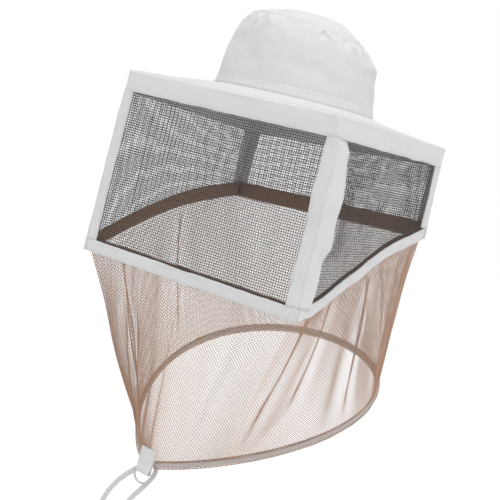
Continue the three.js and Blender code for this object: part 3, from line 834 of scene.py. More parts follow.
def crown_side_point(turn, share, inset=0.0):
    """A point of the crown's side, from its base at share 0 to the seam at share 1."""
    top = seam_height(turn)
    knots = [(crown_base, 0), (0.0915, 0.5 * top), (0.0885, top - 0.012), (seam_radius(turn), top)]
    weights = [(1 - share)**3, 3 * share * (1 - share)**2, 3 * share**2 * (1 - share), share**3]
    radius = sum(w * k[0] for w, k in zip(weights, knots))
    z = sum(w * k[1] for w, k in zip(weights, knots))
    spot = (math.sin(turn) * radius, -math.cos(turn) * radius, z)
    loose = min(1, share * 4) * min(1, (1 - share) * 8)
    radius += 0.0026 * loose * wander(spot, 0.045, 1) + 0.0014 * loose * wander(spot, 0.016, 2)
    radius += 0.0024 * loose * share**3 * wander((spot[0], spot[1], spot[2] * 0.4), 0.011, 4)
    for degrees, depth in tucks:
        off = (turn - math.radians(degrees) + math.pi) % (2 * math.pi) - math.pi
        below = max(0.0, tuck_share - share)
        away = off * crown_seam_radius / (tuck_width * (1 + 9 * below)) + 3.0 * below
        fade = 0.15 if share < tuck_share else 0.045
        near_seam = math.exp(-((tuck_share - share) / fade)**2)
        radius -= depth * tuck_dent * near_seam * math.exp(-away**2)
        radius += depth * tuck_ridge * near_seam * math.exp(-(away - 1.9)**2)
    bulge = math.exp(-((z - 0.057) / 0.008)**2 - ((turn - slump_at) / 0.28)**2)
    radius += 0.0042 * bulge - inset
    return round_spot(turn, radius, z)


# %% Turn the side, the top and the bands round the head
turns = np.linspace(0, 2 * math.pi, 360, endpoint=False)


def turned_piece(name, profile):
    """A closed profile, given as points for a turn, carried once round the head."""
    points = np.array([profile(turn) for turn in turns])
    girth = np.linspace(0, 2 * math.pi * crown_base, len(turns) + 1)
    around = lengths(points[0], True)
    flat = np.stack(np.meshgrid(girth, around, indexing="ij"), -1)
    return face_outwards(skin(name, points, flat, loop_rows=True, loop_columns=True))


crown_steps = np.linspace(0, 1, 48)
cotton = 0.0016


def side_profile(turn):
    """The side panel's outside from base to seam, and its inside back again."""
    outside = [crown_side_point(turn, share) for share in crown_steps]
    inside = [crown_side_point(turn, share, cotton) for share in crown_steps[::-1]]
    return outside + inside


crown_side = turned_piece("crown_side_panel", side_profile)
finish(crown_side, hat_cotton, replaces=("crown_side",))


def crown_top_point(turn, share, lift=0.0):
    """A point of the crown's top, from its middle at share 0 to the seam at share 1."""
    x, y, z = crown_side_point(turn, 1.0)
    radius = (seam_radius(turn) + 0.0006) * share
    dome = crown_peak + (z - crown_peak) * share**2.5
    spot = (math.sin(turn) * radius, -math.cos(turn) * radius, 0.1)
    dome += 0.0022 * wander(spot, 0.040, 5) * (1 - share**3) + 0.0006 * wander(spot, 0.012, 6)
    dome += 0.0007 * math.exp(-((radius - seam_radius(turn) + 0.004) / 0.0028)**4)
    return round_spot(turn, radius, dome - lift)


top_steps = np.linspace(0, 1, 30)**0.8
top_rows = []
for turn in turns:
    upper = [crown_top_point(turn, share) for share in top_steps]
    lower = [crown_top_point(turn, share, cotton) for share in top_steps[::-1]]
    top_rows.append(upper + lower)
top_rows = np.array(top_rows)
top_flat = np.concatenate([top_rows[:, :, :2], top_rows[:1, :, :2]])
crown_top = skin("crown_top_panel", top_rows, top_flat, loop_rows=True)
reworked(crown_top, lambda work: bmesh.ops.remove_doubles(work, verts=work.verts, dist=1e-5))
finish(face_outwards(crown_top), hat_cotton, replaces=("crown_top",))
stitch_lift = 0.0002  # how far a stitch stands off its cloth
for inset in (0.0075, 0.0015):
    seams.append(([crown_top_point(t, 1 - inset / seam_radius(t), -stitch_lift) for t in turns], True))

# %% The band at its base, and the linings inside
def band_profile(radius_at, low, high, thickness, ripple, seed, steps=8):
    """A profile for a band between two heights, whose outside follows a radius."""
    def profile(turn):
        heights = np.linspace(low, high, steps)
        outside, inside = [], []
        for k, z in enumerate(heights):
            spot = (math.sin(turn) * 0.1, -math.cos(turn) * 0.1, z)
            radius = radius_at(turn, z) + ripple * wander(spot, 0.03, seed)
            edge = 0.35 * thickness if k in (0, steps - 1) else 0
            outside.append(round_spot(turn, radius - edge, z))
            inside.append(round_spot(turn, radius - thickness + edge, z))
        return outside + inside[::-1]
    return profile


def crown_radius(z):
    """The crown's plain radius at a height near its base."""
    return crown_base - 0.0115 * (z / 0.056)


band_foot, band_head, band_proud = -0.0012, 0.0098, 0.0008
hat_band = turned_piece("hat_band_strip", band_profile(
    lambda turn, z: crown_radius(z) + band_proud, band_foot, band_head, thickness=0.0010,
    ripple=0.0003, seed=11))
finish(hat_band, band_cotton, replaces=("hat_band",))
for z in (0.0012, 0.0082):
    seams.append(([round_spot(t, crown_radius(z) + band_proud + 0.0001, z) for t in turns], True))

sweat_low, sweat_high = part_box("sweatband")
sweat_radius, sweat_lean = 0.0967, 0.0072 / 0.0285
sweatband = turned_piece("sweatband_strip", band_profile(
    lambda turn, z: sweat_radius - sweat_lean * max(0, z), sweat_low.z, sweat_high.z,
    thickness=0.0014, ripple=0.0004, seed=13, steps=12))
finish(sweatband, twill_tape, replaces=("sweatband",))


def seam_tape_profile(turn):
    """A thin tape under the seam, which sags a little between its two edges."""
    top = seam_height(turn)
    outer, inner = seam_radius(turn) - 0.0020, seam_radius(turn) - 0.0125
    middle = (outer + inner) / 2
    spots = [
        (outer, top - 0.0046), (outer, top - 0.0056), (middle, top - 0.0040),
        (inner, top - 0.0022), (inner, top - 0.0012), (middle, top - 0.0030),
    ]
    ripples = [0.0004 * wander((r * math.sin(turn) * 9, r, z), 0.1, 3) for r, z in spots]
    return [round_spot(turn, r, z + ripple) for (r, z), ripple in zip(spots, ripples)]


seam_tape = turned_piece("crown_seam_binding", seam_tape_profile)
finish(seam_tape, twill_tape, replaces=("crown_seam_tape",))

# %% [markdown]
# ## The brim
# The brim is a soft double layer that starts as the crown's circle and ends as the square
# that carries the veil. A band turns down from its edge. A plane cut to shape would look like
# board, so each point is blended from circle to square, with a slow wander, and the back
# corner on the wearer's right hangs lower, as limp cloth does.

# %% Blend the circle into the square
_, brim_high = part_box("brim")
band_low, band_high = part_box("brim_band")
band_half = band_high.x
brim_thickness = 0.0020
sag_depth = 0.012


def corner_sag(x, y):
    """The limp brim hangs lower at the back on the wearer's right."""
    return -sag_depth * max(0.0, 0.5 - x / (2 * band_half)) * max(0.0, 0.5 + y / (2 * band_half))


def on_square(angle, half):
    """The place on a square's edge in the direction of an angle from its middle."""
    c, s = math.cos(angle), math.sin(angle)
    reach = half / max(abs(c), abs(s))
    return np.array((c * reach, s * reach))


def brim_point(turn, share, lift):
    """A point of the brim, from the crown's circle at share 0 to the square edge at share 1."""
    angle = turn - math.pi / 2
    round_end = np.array(round_spot(turn, crown_base - 0.0012, 0))[:2]
    x, y = round_end + (on_square(angle, band_half - 0.0016) - round_end) * share
    z = brim_high.z + (band_high.z + 0.0004 - brim_high.z) * share
    soft = math.sin(math.pi * min(1, share * 1.02))
    z += 0.0016 * soft * wander((x, y, 0), 0.06, 21) + 0.0005 * wander((x, y, 0), 0.014, 22) * soft
    z += (0.0006 * wander((x, y, 0), 0.05, 23) + corner_sag(x, y)) * share
    return (x, y, z - lift)


brim_steps = np.linspace(0, 1, 22)
brim_turns = np.linspace(0, 2 * math.pi, 320, endpoint=False)
brim_rows = np.array([
    [brim_point(t, s, 0) for s in brim_steps]
    + [brim_point(t, s, brim_thickness) for s in brim_steps[::-1]]
    for t in brim_turns
])
brim_flat = np.concatenate([brim_rows, brim_rows[:1]])[:, :, :2]
brim_flat = np.concatenate([brim_flat, brim_flat[:, :1]], 1)
brim = skin("brim_panel", brim_rows, brim_flat, loop_rows=True, loop_columns=True)
finish(face_outwards(brim), hat_cotton, replaces=("brim",))
for share in (0.90, 0.04):
    seams.append(([brim_point(t, share, -stitch_lift) for t in brim_turns], True))


# %% The band that turns down from its edge
def square_path(half, corner, step):
    """A square with rounded corners: its points, and the outward direction at each."""
    spots, outward = [], []
    for quarter in range(4):
        face = quarter * math.pi / 2
        out = np.array((math.cos(face), math.sin(face)))
        along = np.array((-math.sin(face), math.cos(face)))
        reach = half - corner
        for far in np.linspace(-reach, reach, round(2 * reach / step), endpoint=False):
            spots.append(out * half + along * far)
            outward.append(out)
        for k in range(6):
            angle = face + math.pi / 2 * k / 6
            direction = np.array((math.cos(angle), math.sin(angle)))
            spots.append((out + along) * reach + direction * corner)
            outward.append(direction)
    return np.array(spots), np.array(outward)


band_tall = band_high.z - band_low.z
band_thickness = 0.0032
spots, outward = square_path(band_half - 0.0014, corner=0.0045, step=0.004)
sags = np.array([corner_sag(x, y) for x, y in spots])
path = np.column_stack([spots, sags + (band_low.z + band_high.z) / 2])
up_axis = np.tile((0, 0, 1.0), (len(path), 1))
out_axis = np.column_stack([outward, np.zeros(len(outward))])
band_section = rounded_section(band_tall + 0.0006, band_thickness)
brim_band = sweep("brim_band_strip", path, up_axis, out_axis, band_section, closed=True)
crumple(brim_band, 0.0013, 0.032, 31, axes=(1, 1, 0.7))
crumple(brim_band, 0.0005, 0.009, 33)
finish(brim_band, band_cotton, replaces=("brim_band",))
for z in (band_low.z + 0.0025, band_high.z - 0.0030):
    seams.append((np.column_stack([spots + outward * (band_thickness / 2 + 0.00005), sags + z]), True))

# %% [markdown]
# ## The window walls
# Four walls hang from the band: deep in front, shallow behind. Each is a panel of woven wire
# with its cut edges bound in folded tape. The walls lean outwards a little, so every place
# on a wall is given in the wall's own terms: how far along it, how far down it, and how far
# proud of it. One corner is bent round and two bottom edges bow, and because wire, tapes and
# net all ask the same functions for their places, they stay together there.

# %% A wall's own directions
gap = 0.0003  # between pieces that are sewn or laid against each other
tape_thickness = 0.0028
tape_width = 0.015
wall_top = band_low.z - gap
wall_half = band_half - tape_thickness / 2
wall_lean = 0.02
front_drop, back_drop = 0.196, 0.094
walls = {  # the corner each starts from, the one it ends at, and whether its tapes cover the corner
    "front": ((-1, -1), (1, -1), True), "right": ((1, -1), (1, 1), False),
    "back": ((1, 1), (-1, 1), True), "left": ((-1, 1), (-1, -1), False),
}


def corner_drop(corner):
    """How far down a wall reaches at a corner."""
    return front_drop if corner[1] < 0 else back_drop


bent_tape_width = 0.020  # the tape at the bent corner is the widest


def corner_bulge(far, drop):
    """The front corner on the wearer's left is bent round, so its side wall starts proud: by
    how much, at a distance from the corner and a drop below the band."""
    spread = max(0.0, far) / bent_tape_width
    depth = 0.0040 * min(1, max(0, drop - 0.001) / 0.008) + 0.0070 * min(1, max(0, drop) / 0.06)
    depth -= 0.0065 / (1 + math.exp(-(drop - 0.121) / 0.004))
    return depth * (spread if spread < 1 else spread * math.exp(1 - spread))


def wall_point(name, along, drop, proud=0.0):
    """A point of a wall: along it from its middle, down from its top, and out of it."""
    start, end, _ = walls[name]
    run = Vector((end[0] - start[0], end[1] - start[1], 0)).normalized()
    out = Vector((run.y, -run.x, 0))
    up = (Vector((0, 0, 1)) - out * wall_lean).normalized()
    slant = math.hypot(1, wall_lean)
    if name == "right":
        proud += corner_bulge(along + wall_reach(name, drop), drop)
    spot = out * wall_half + Vector((0, 0, wall_top)) + run * along
    spot = spot - up * drop * slant + run.cross(up) * proud
    spot.z += corner_sag(spot.x, spot.y)
    return spot


def wall_reach(name, drop):
    """How far a wall's edge is from its middle. The front and back walls cover the corners."""
    cover = tape_thickness / 2 if walls[name][2] else -(tape_thickness / 2 + gap)
    return wall_half + wall_lean * drop + cover


def edge_bow(name, share):
    """How far a soft bottom edge hangs below its straight line, at a share of the way along."""
    if name == "right":
        hanging = 0.0030 * math.exp(-((share - 0.16) / 0.10)**2)
        return hanging - 0.0075 * math.exp(-((share - 0.66) / 0.20)**2)
    if name == "left":
        return -0.0150 * math.sin(math.pi * min(1, max(0, share)))
    return 0.0


def wall_bottom(name, along):
    """The wall's bottom edge at a place along it."""
    start, end, _ = walls[name]
    share = (along / wall_half + 1) / 2
    straight = corner_drop(start) + (corner_drop(end) - corner_drop(start)) * share
    return straight + edge_bow(name, share)


# %% Woven wire panels
wire_pitch = 0.0029
wire_radius = 0.00034
panel_hidden = 0.006  # how far the wire runs into its tapes and the band

panel_columns, panel_rows = 40, 26

for number, name in enumerate(walls):
    points, flat = [], []
    for i in range(panel_columns + 1):
        points.append([])
        flat.append([])
        for j in range(panel_rows + 1):
            side = 2 * i / panel_columns - 1
            along = side * (wall_reach(name, 0.1) - panel_hidden)
            top, low = -panel_hidden, wall_bottom(name, along) - panel_hidden
            drop = top + (low - top) * j / panel_rows
            free = math.sin(math.pi * i / panel_columns) * math.sin(math.pi * j / panel_rows)
            here = (along, drop, number * 0.5)
            proud = 0.0022 * free * wander(here, 0.07, 41)
            proud += 0.0008 * free * wander(here, 0.014, 42)
            points[-1].append(wall_point(name, along, drop, proud))
            stray = [0.0007 * wander(here, 0.016, seed) for seed in (43, 44)]
            flat[-1].append((along + 0.2 + stray[0], drop + 0.02 + stray[1]))
    panel = skin(f"panel_{name}", points, flat)
    wires = grow(
        f"wire_panel_{name}", panel, threads_tree, Columns=int(0.40 / wire_pitch),
        Rows=int(0.24 / wire_pitch), Pitch=wire_pitch, Row=wire_pitch, Start=0.0, Sway=0.0,
        Lift=0.00022, Radius=wire_radius, Sides=4, Crossed=True, Finish=wire_finish,
    )
    discard(panel)
    finish(wires, wire_finish, replaces=(f"mesh_{name}",))

# %% Folded tapes
def strip_places(wall, ends, level, steps):
    """The middle of a strip as (along, drop): a level one follows the wall's soft bottom edge."""
    (a0, d0), (a1, d1) = ends
    places = [(a0 + (a1 - a0) * s, d0 + (d1 - d0) * s, s) for s in np.linspace(0, 1, steps)]
    return [(a, d + (edge_bow(wall, s) if level else 0)) for a, d, s in places]


def wall_strip(name, wall, ends, level, width, thickness, proud, wobble, seed, steps=46):
    """A flat strip along a wall: ends are the middles of its two ends as (along, drop), and
    its width runs down the wall for a level strip and along the wall for an upright one."""
    places = strip_places(wall, ends, level, steps)
    over, down_by = (0, -width / 2) if level else (width / 2, 0)
    highs = np.array([wall_point(wall, a + over, d + down_by, proud) for a, d in places])
    lows = np.array([wall_point(wall, a - over, d - down_by, proud) for a, d in places])
    line, wide = (highs + lows) / 2, (highs - lows) / width
    out = unit(np.cross(np.gradient(line, axis=0), wide))
    strip = sweep(name, line, wide, out, rounded_section(width, thickness, 0.8))
    crumple(strip, wobble, 0.026, seed)
    crumple(strip, wobble * 0.4, 0.009, seed + 1)
    return strip


def strip_seams(wall, ends, offset, level, proud):
    """Stitching on both faces of a tape, offset from its middle towards the wire."""
    for face in (1, -1):
        spots = []
        for along, drop in strip_places(wall, ends, level, 42)[1:-1]:
            along, drop = (along, drop - offset) if level else (along + offset, drop)
            spots.append(wall_point(wall, along, drop, face * proud))
        seams.append((spots, False))


half_tape = tape_width / 2
seam_inset = 0.0022  # of the stitching from a tape's inner edge

for number, (name, (start, end, _)) in enumerate(walls.items()):
    ends = []
    for side, corner in ((-1, start), (1, end)):
        drop = corner_drop(corner)
        ends.append((side * wall_reach(name, drop), drop - half_tape))
    bottom = wall_strip(f"bottom_binding_{name}", name, ends, True, tape_width, 0.0029, proud=0,
                        wobble=0.0010, seed=50 + number)
    finish(bottom, twill_tape, replaces=(f"bottom_tape_{name}",))
    strip_seams(name, ends, half_tape - seam_inset, True, 0.00155)
    for label, side, corner in (("left", -1, start), ("right", 1, end)):
        foot = corner_drop(corner) - tape_width
        bent_corner = (name, label) == ("right", "left")
        half_wide = bent_tape_width / 2 if bent_corner else half_tape
        ends = [(side * (wall_reach(name, 0) - half_wide), -0.0012),
                (side * (wall_reach(name, foot) - half_wide), foot + 0.0010)]
        wobble = 0.0015 if bent_corner or (name, label) == ("front", "right") else 0.0009
        upright_tape = wall_strip(
            f"side_binding_{name}_{label}", name, ends, False, 2 * half_wide, tape_thickness, proud=0,
            wobble=wobble, seed=60 + 2 * number + side, steps=max(20, int(foot / 0.004)))
        finish(upright_tape, twill_tape, replaces=(f"side_tape_{name}_{label}",))
        strip_seams(name, ends, -side * (half_wide - seam_inset), False, 0.0016)

# %% The brown binding inside, where the net is sewn on
lining_thickness = 0.0012
net_thickness = 0.0012
inward = tape_thickness / 2 + gap + net_thickness + gap + lining_thickness / 2

for number, (name, (start, end, owns)) in enumerate(walls.items()):
    trim = 0.0048 if owns else 0.0032
    turned_in = 0.016 if name in ("front", "right") else 0.020
    ends = []
    for side, corner in ((-1, start), (1, end)):
        drop = corner_drop(corner)
        ends.append((side * (wall_reach(name, drop) - trim), drop - 0.0015 - turned_in / 2))
    lining = wall_strip(f"net_lining_{name}", name, ends, True, turned_in, lining_thickness,
                        proud=-inward, wobble=0.0006, seed=80 + number)
    finish(lining, brown_tape, replaces=(f"net_binding_{name}",))

# %% [markdown]
# ## The net skirt
# The skirt is one length of soft knitted net, sewn inside the bottom tapes and gathered on
# the drawcord at its hem. The hem is much shorter than the top, so the net has to fold. A
# cloth simulation finds those folds: the cut cloth is a straight tube, its top and bottom
# edges are pinned where the sewing holds them, and what is spare in between buckles. It
# smooths out narrow folds, so the long creases of the cord's pull are pressed in afterwards.

# %% Where the net is sewn, and where its hem runs
net_inside = 0.1425
net_tuck = 0.0075


def hem_point(turn):
    """The hem: pointed at the front by the pull of the cord, and rising to the back."""
    behind = (1 - math.cos(turn)) / 2
    side = math.sin(turn) * max(0.0, math.sin(turn / 2))**0.6 / 0.834
    return np.array((0.133 * side + 0.050 * behind, -0.133 + 0.283 * behind, -0.450 + 0.156 * behind))


def hem_directions(turn):
    """Along the hem, out of it, and up across it."""
    ahead = hem_point(min(turn + 0.002, 2 * math.pi)) - hem_point(max(turn - 0.002, 0))
    ahead /= np.linalg.norm(ahead)
    up = np.array((0, 0, 1.0)) - ahead * ahead[2]
    up /= np.linalg.norm(up)
    return ahead, np.cross(ahead, up), up


def sewn_point(turn, lift):
    """The net's top edge, inside the bottom tapes and a little above their lower edge."""
    x, y = on_square(turn - math.pi / 2, net_inside)
    drop = front_drop + (back_drop - front_drop) * (y + net_inside) / (2 * net_inside) - lift
    spread = 1 + wall_lean * drop / net_inside
    if x > net_inside - 1e-6:
        drop += edge_bow("right", (y / net_inside + 1) / 2)
        x += corner_bulge(y + net_inside, drop)
    elif x < -net_inside + 1e-6:
        drop += edge_bow("left", (1 - y / net_inside) / 2)
    return np.array((x * spread, y * spread, wall_top - drop + corner_sag(x, y)))


# %% The net as it is cut, and a first guess at how it hangs
net_columns, net_rows = 288, 36
slack = 1.025
net_turns = np.linspace(0, 2 * math.pi, net_columns, endpoint=False)
top_edge = np.array([sewn_point(t, net_tuck) for t in net_turns])
hem_edge = np.array([hem_point(t) + hem_directions(t)[2] * 0.0012 for t in net_turns])
girth = lengths(top_edge, True)
fall = np.linalg.norm(hem_edge - top_edge, axis=1) * slack
fall_round = np.concatenate([fall, fall[:1]])
shares = np.linspace(0, 1, net_rows)
hung_points = top_edge[:, None] + (hem_edge - top_edge)[:, None] * shares[None, :, None]
cut_flat = np.stack(np.broadcast_arrays(girth[:, None], fall_round[:, None] * shares[None, :]), -1)
cut_area = float(np.sum(np.diff(girth) * (fall_round[:-1] + fall_round[1:]) / 2))
print(f"net as cut: {girth[-1]:.3f} m round, {fall.min():.3f} to {fall.max():.3f} m long, "
      f"{cut_area:.3f} square metres; hem {lengths(hem_edge, True)[-1]:.3f} m")


# %% Let the net fold
def start_folds(points, depth):
    """Shallow folds for a start, deeper towards the hem, so that the cloth knows where to go."""
    moved = points.copy()
    for i, turn in enumerate(net_turns):
        out = np.array((math.cos(turn - math.pi / 2), math.sin(turn - math.pi / 2), 0))
        for j, share in enumerate(shares):
            spot = (girth[i] * 0.9, fall[i] * share * 0.35, 0)
            fold = math.sin(girth[i] / 0.0125 + 2.4 * wander(spot, 0.05, 91))
            moved[i, j] += out * depth * fold * math.sin(math.pi * share)**0.7 * (0.25 + 0.75 * share)
            moved[i, j] += out * depth * 1.2 * wander(spot, 0.045, 92) * math.sin(math.pi * share)
    return moved


def simulate(piece, cut, frames):
    """Runs Blender's cloth on a piece with its edge rows pinned, and returns its points."""
    pins = piece.vertex_groups.new(name="sewn")
    held = [i * net_rows + j for i in range(net_columns) for j in (0, net_rows - 1)]
    pins.add(held, 1.0, "REPLACE")
    piece.shape_key_add(name="hung")
    cut_key = piece.shape_key_add(name="cut")
    cut_key.data.foreach_set("co", cut.reshape(-1, 3).ravel())
    cloth = piece.modifiers.new("cloth", "CLOTH")
    settings = cloth.settings
    settings.quality = 7
    settings.mass = 0.12
    settings.air_damping = 4.0
    settings.tension_stiffness = 25
    settings.compression_stiffness = 25
    settings.shear_stiffness = 2.5
    settings.bending_stiffness = 3.0
    settings.vertex_group_mass = "sewn"
    settings.pin_stiffness = 1.0
    settings.rest_shape_key = cut_key
    cloth.collision_settings.use_collision = False
    cloth.collision_settings.use_self_collision = False
    cloth.point_cache.frame_start, cloth.point_cache.frame_end = 1, frames
    scene.frame_start, scene.frame_end = 1, frames
    for step in range(1, frames + 1):
        scene.frame_set(step)
    evaluated = piece.evaluated_get(bpy.context.evaluated_depsgraph_get())
    result = np.zeros(net_columns * net_rows * 3)
    evaluated.data.vertices.foreach_get("co", result)
    piece.modifiers.remove(cloth)
    piece.shape_key_clear()
    scene.frame_set(1)
    return result.reshape(net_columns, net_rows, 3)


crease_plan = [  # turn round from the face, depth in mm, and the shares of the drop it starts and ends at
    (0.50, 5.5, 0.15, 0.95), (0.86, 6.5, 0.05, 0.90), (1.10, 5.0, 0.0, 0.75),
    (1.62, 5.0, 0.1, 0.95), (2.60, 4.5, 0.05, 0.9), (3.70, 4.5, 0.1, 0.95),
    (4.55, 5.0, 0.05, 0.9), (5.25, 5.5, 0.1, 0.95), (5.72, 4.5, 0.2, 0.95),
]


def creases(turn_width):
    """Sharp creases that the hem's pull draws down the net, each a ridge beside a valley."""
    pushed = np.zeros((net_columns, net_rows))
    for turn, depth, start, end in crease_plan:
        away = (net_turns[:, None] - turn - 0.02 * np.sin(6 * shares)[None, :]) / turn_width
        reach = np.clip((shares - start) / (end - start), 0, 1)
        fold = np.exp(-away**2) - np.exp(-(away - 1.7)**2)
        pushed += depth * 0.001 * fold * np.sin(math.pi * reach)[None, :]**0.8
    return pushed


started = start_folds(hung_points, 0.0055)
net_cloth = skin("net_cloth", started, cut_flat, loop_rows=True)
settled = started
cut_tube = np.stack(np.broadcast_arrays(
    top_edge[:, None, 0], top_edge[:, None, 1], -fall[:, None] * shares[None, :]), -1)
settled = simulate(net_cloth, cut_tube, frames=36)
move = settled - hung_points
smoothings = 4  # the coarse cloth's small ripples are smoothed, and its edges stay where they are sewn
for _ in range(smoothings):
    move = (np.roll(move, 1, 0) + 2 * move + np.roll(move, -1, 0)) / 4
    move[:, 1:-1] = (move[:, :-2] + 2 * move[:, 1:-1] + move[:, 2:]) / 4
far = np.linalg.norm(move, axis=-1, keepdims=True)
cap = 0.014
move *= np.where(far > cap, cap / np.maximum(far, 1e-9), 1.0)
net_shape = hung_points + move
outwards = np.array([(math.sin(turn), -math.cos(turn), 0) for turn in net_turns])
net_shape += creases(turn_width=0.034)[..., None] * outwards[:, None, :]
net_cloth.data.vertices.foreach_set("co", net_shape.ravel())
net_cloth.data.update()
print(f"net settled: moved {far.mean() * 1000:.1f} mm on average, {far.max() * 1000:.1f} mm at most")

# %% Knit the net on its cloth, in three lengths
yarn_pitch, yarn_row, yarn_radius = 0.00235, 0.0021, 0.00041
net_sway = 0.47  # how far a thread sways to meet its neighbour, as a share of the pitch
lengths_of_net = 3
share_columns = int(girth[-1] / yarn_pitch / lengths_of_net)
for part in range(lengths_of_net):
    length = grow(
        f"net_skirt_{part + 1}", net_cloth, threads_tree, Columns=share_columns,
        Rows=int(fall.max() / yarn_row), Pitch=yarn_pitch, Row=yarn_row,
        Start=part * girth[-1] / lengths_of_net + yarn_pitch / 2, Sway=net_sway, Lift=0.0,
        Radius=yarn_radius, Sides=3, Crossed=False, Finish=net_yarn,
    )
    finish(length, net_yarn, replaces=("veil_net",))
    low, high = girth[-1] * part / lengths_of_net, girth[-1] * (part + 1) / lengths_of_net
discard(net_cloth)

# %% [markdown]
# ## The hem, its channel and the drawcord in it
# The net is turned up and sewn into a channel round the hem, and the flat cord shows white
# through it. The channel could be two flat strips, but a hem is a flattened tube, so it gets
# the skirt's threads, a little thinner to let the cord show, over a tube that follows the
# hem. The cord inside is swept along the same line.

# %% Channel and drawcord
channel_turns = np.linspace(0.19, 2 * math.pi - 0.20, 300)
hem_line = np.array([hem_point(t) for t in channel_turns])
hem_frames = [hem_directions(t) for t in channel_turns]
hem_out = np.array([f[1] for f in hem_frames])
hem_up = np.array([f[2] for f in hem_frames])
channel_height, channel_thickness = 0.0090, 0.0050
channel_pitch, channel_row = 0.0024, 0.0021
channel_section = rounded_section(channel_height, channel_thickness, 0.95, steps=6)
channel_cloth = sweep("channel_cloth", hem_line, hem_up, hem_out, channel_section)
crumple(channel_cloth, 0.0008, 0.012, 95)
hem_length = float(lengths(hem_line)[-1])
channel_girth = float(lengths(channel_section, True)[-1])
channel = grow(
    "hem_channel_net", channel_cloth, threads_tree, Columns=int(hem_length / channel_pitch),
    Rows=int(channel_girth / channel_row), Pitch=channel_pitch, Row=channel_row, Start=0.0005,
    Sway=net_sway, Lift=0.0, Radius=0.00031, Sides=3, Crossed=False, Finish=net_yarn,
)
discard(channel_cloth)
finish(channel, net_yarn, replaces=("hem_channel",))
held_section = rounded_section(0.0066, 0.0038, 0.95)  # the cord is bunched up in the hem
held_cord = sweep("drawcord_in_hem", hem_line, hem_up, hem_out, held_section)
crumple(held_cord, 0.0004, 0.02, 97)
finish(held_cord, cord_braid, replaces=("drawcord",))

# %% Seam threads along the channel's two edges
edge_points = [hem_line + hem_up * 0.0046, hem_line - hem_up * 0.0044]
edge_count = len(hem_line)
edge_mesh = bpy.data.meshes.new("channel_edges")
edge_mesh.from_pydata(
    np.concatenate(edge_points).tolist(),
    [(k + row * edge_count, k + 1 + row * edge_count) for row in (0, 1) for k in range(edge_count - 1)], [])
edge_lines = placed("channel_edges", edge_mesh)
channel_seams = grow("hem_channel_seams", edge_lines, stitch_tree, Step=0.0017, Stitch=0.0026,
                     Thickness=0.0012, Finish=net_yarn)
discard(edge_lines)
finish(channel_seams, net_yarn)

# %% [markdown]
# ## The tab and its ring
# A short piece of webbing is sewn to the front of the hem, folded round the straight side of
# a D-ring. The webbing is one strip carried down the back, round the bar and up the front.
# The ring is bent wire, so a round section is swept along a D; it swings on its bar.

# %% Fold the webbing round the bar
tab_low, tab_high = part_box("cord_tab")
ring_joint = next(j for j in frame["joints"] if j["name"] == "ring_swing")
ring_low, ring_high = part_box("d_ring")
bar = np.array([float(x) for x in ring_joint["pos_m"]])
strap = 0.0014
wrap = 0.00145 + strap / 2  # the bar's clearance and half the webbing
tab_side = []
top_rear = (tab_high.y - strap / 2, tab_high.z)
top_front = (tab_high.y - strap * 1.5 - 0.0001, tab_high.z)
for share in np.linspace(0, 1, 10, endpoint=False):
    tab_side.append((top_rear[0] + (bar[1] + wrap - top_rear[0]) * share**1.4,
                     top_rear[1] + (bar[2] - top_rear[1]) * share))
for angle in np.linspace(0, math.pi, 14):
    tab_side.append((bar[1] + wrap * math.cos(angle), bar[2] - wrap * math.sin(angle)))
for share in np.linspace(0, 1, 11)[1:]:
    tab_side.append((bar[1] - wrap + (top_front[0] - bar[1] + wrap) * share**0.6,
                     bar[2] + (top_front[1] - bar[2]) * share))
tab_line = np.array([(0, y, z) for y, z in tab_side])
tab_ahead = unit(np.gradient(tab_line, axis=0))
tab_wide = np.tile((1.0, 0, 0), (len(tab_line), 1))
narrowing = 1 - 0.10 * np.exp(-((tab_line[:, 2] - bar[2]) / 0.010)**2)
tab = sweep("webbing_tab", tab_line, tab_wide * narrowing[:, None], np.cross(tab_wide, tab_ahead),
            rounded_section(tab_high.x - tab_low.x, strap * 0.92, 0.9))
finish(tab, webbing, replaces=("cord_tab",))
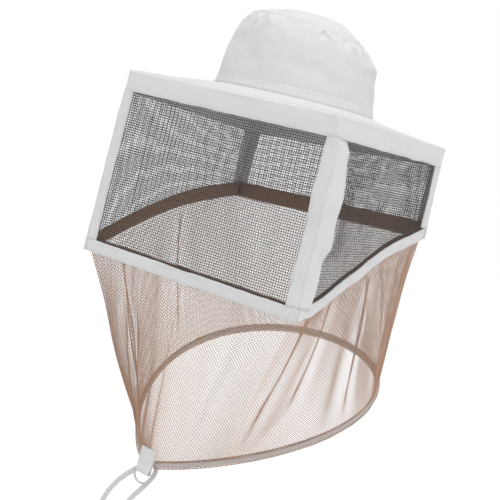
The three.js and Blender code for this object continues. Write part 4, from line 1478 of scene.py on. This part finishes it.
tab_face = tab_line[-11:] + np.array((0, -strap / 2 - stitch_lift, 0))
box_half = 0.0080  # half the width of the stitched box
for x in (-box_half, box_half):
    seams.append(([p + np.array((x, 0, 0)) for p in tab_face[4:]], False))
for k in (4, 10):
    level_seam = [tab_face[k] + np.array((x, 0, 0)) for x in np.linspace(-box_half, box_half, 8)]
    seams.append((level_seam, False))

# %% Bend the ring
wire_half = 0.0011
half_bar = (ring_high.x - ring_low.x) / 2 - wire_half
bow = float(bar[2] - ring_low.z - wire_half)
ring_path = [np.array((x, 0, 0)) for x in np.linspace(-half_bar + 0.002, half_bar - 0.002, 14)]
for angle in np.linspace(0, math.pi, 40):
    c, s = math.cos(angle), math.sin(angle)
    ring_path.append(np.array((half_bar * abs(c)**0.8 * (1 if c > 0 else -1), 0, -bow * abs(s)**0.85)))
ring_path = np.array(ring_path) + bar
ring_ahead = loop_heading(ring_path)
ring_wide = np.tile((0, 1.0, 0), (len(ring_path), 1))
wire_turns = np.linspace(0, 2 * math.pi, 16, endpoint=False)
circle = [(wire_half * math.cos(a), wire_half * math.sin(a)) for a in wire_turns]
ring = sweep("cord_ring", ring_path, ring_wide, np.cross(ring_ahead, ring_wide), circle, closed=True)
finish(ring, nickel, body="ring", replaces=("d_ring",))

# %% [markdown]
# ## Stitching
# On the real hat a row of white thread holds each tape and band. The stitches could be drawn
# by a bump, but only raised ones catch the light at an edge. Every seam line noted above is
# sewn now, in one go, by the stitch tree.

# %% Sew every seam
seam_points, seam_edges = [], []
for spots, closed in seams:
    first = len(seam_points)
    seam_points += [tuple(p) for p in spots]
    last = len(seam_points)
    seam_edges += [(k, k + 1) for k in range(first, last - 1)] + ([(last - 1, first)] if closed else [])
seam_mesh = bpy.data.meshes.new("seams")
seam_mesh.from_pydata(seam_points, seam_edges, [])
seam_piece = placed("seams", seam_mesh)
stitching = grow("stitching", seam_piece, stitch_tree, Step=0.0032, Stitch=0.0025, Thickness=0.00062,
                 Finish=sewing_thread)
discard(seam_piece)
finish(stitching, sewing_thread)
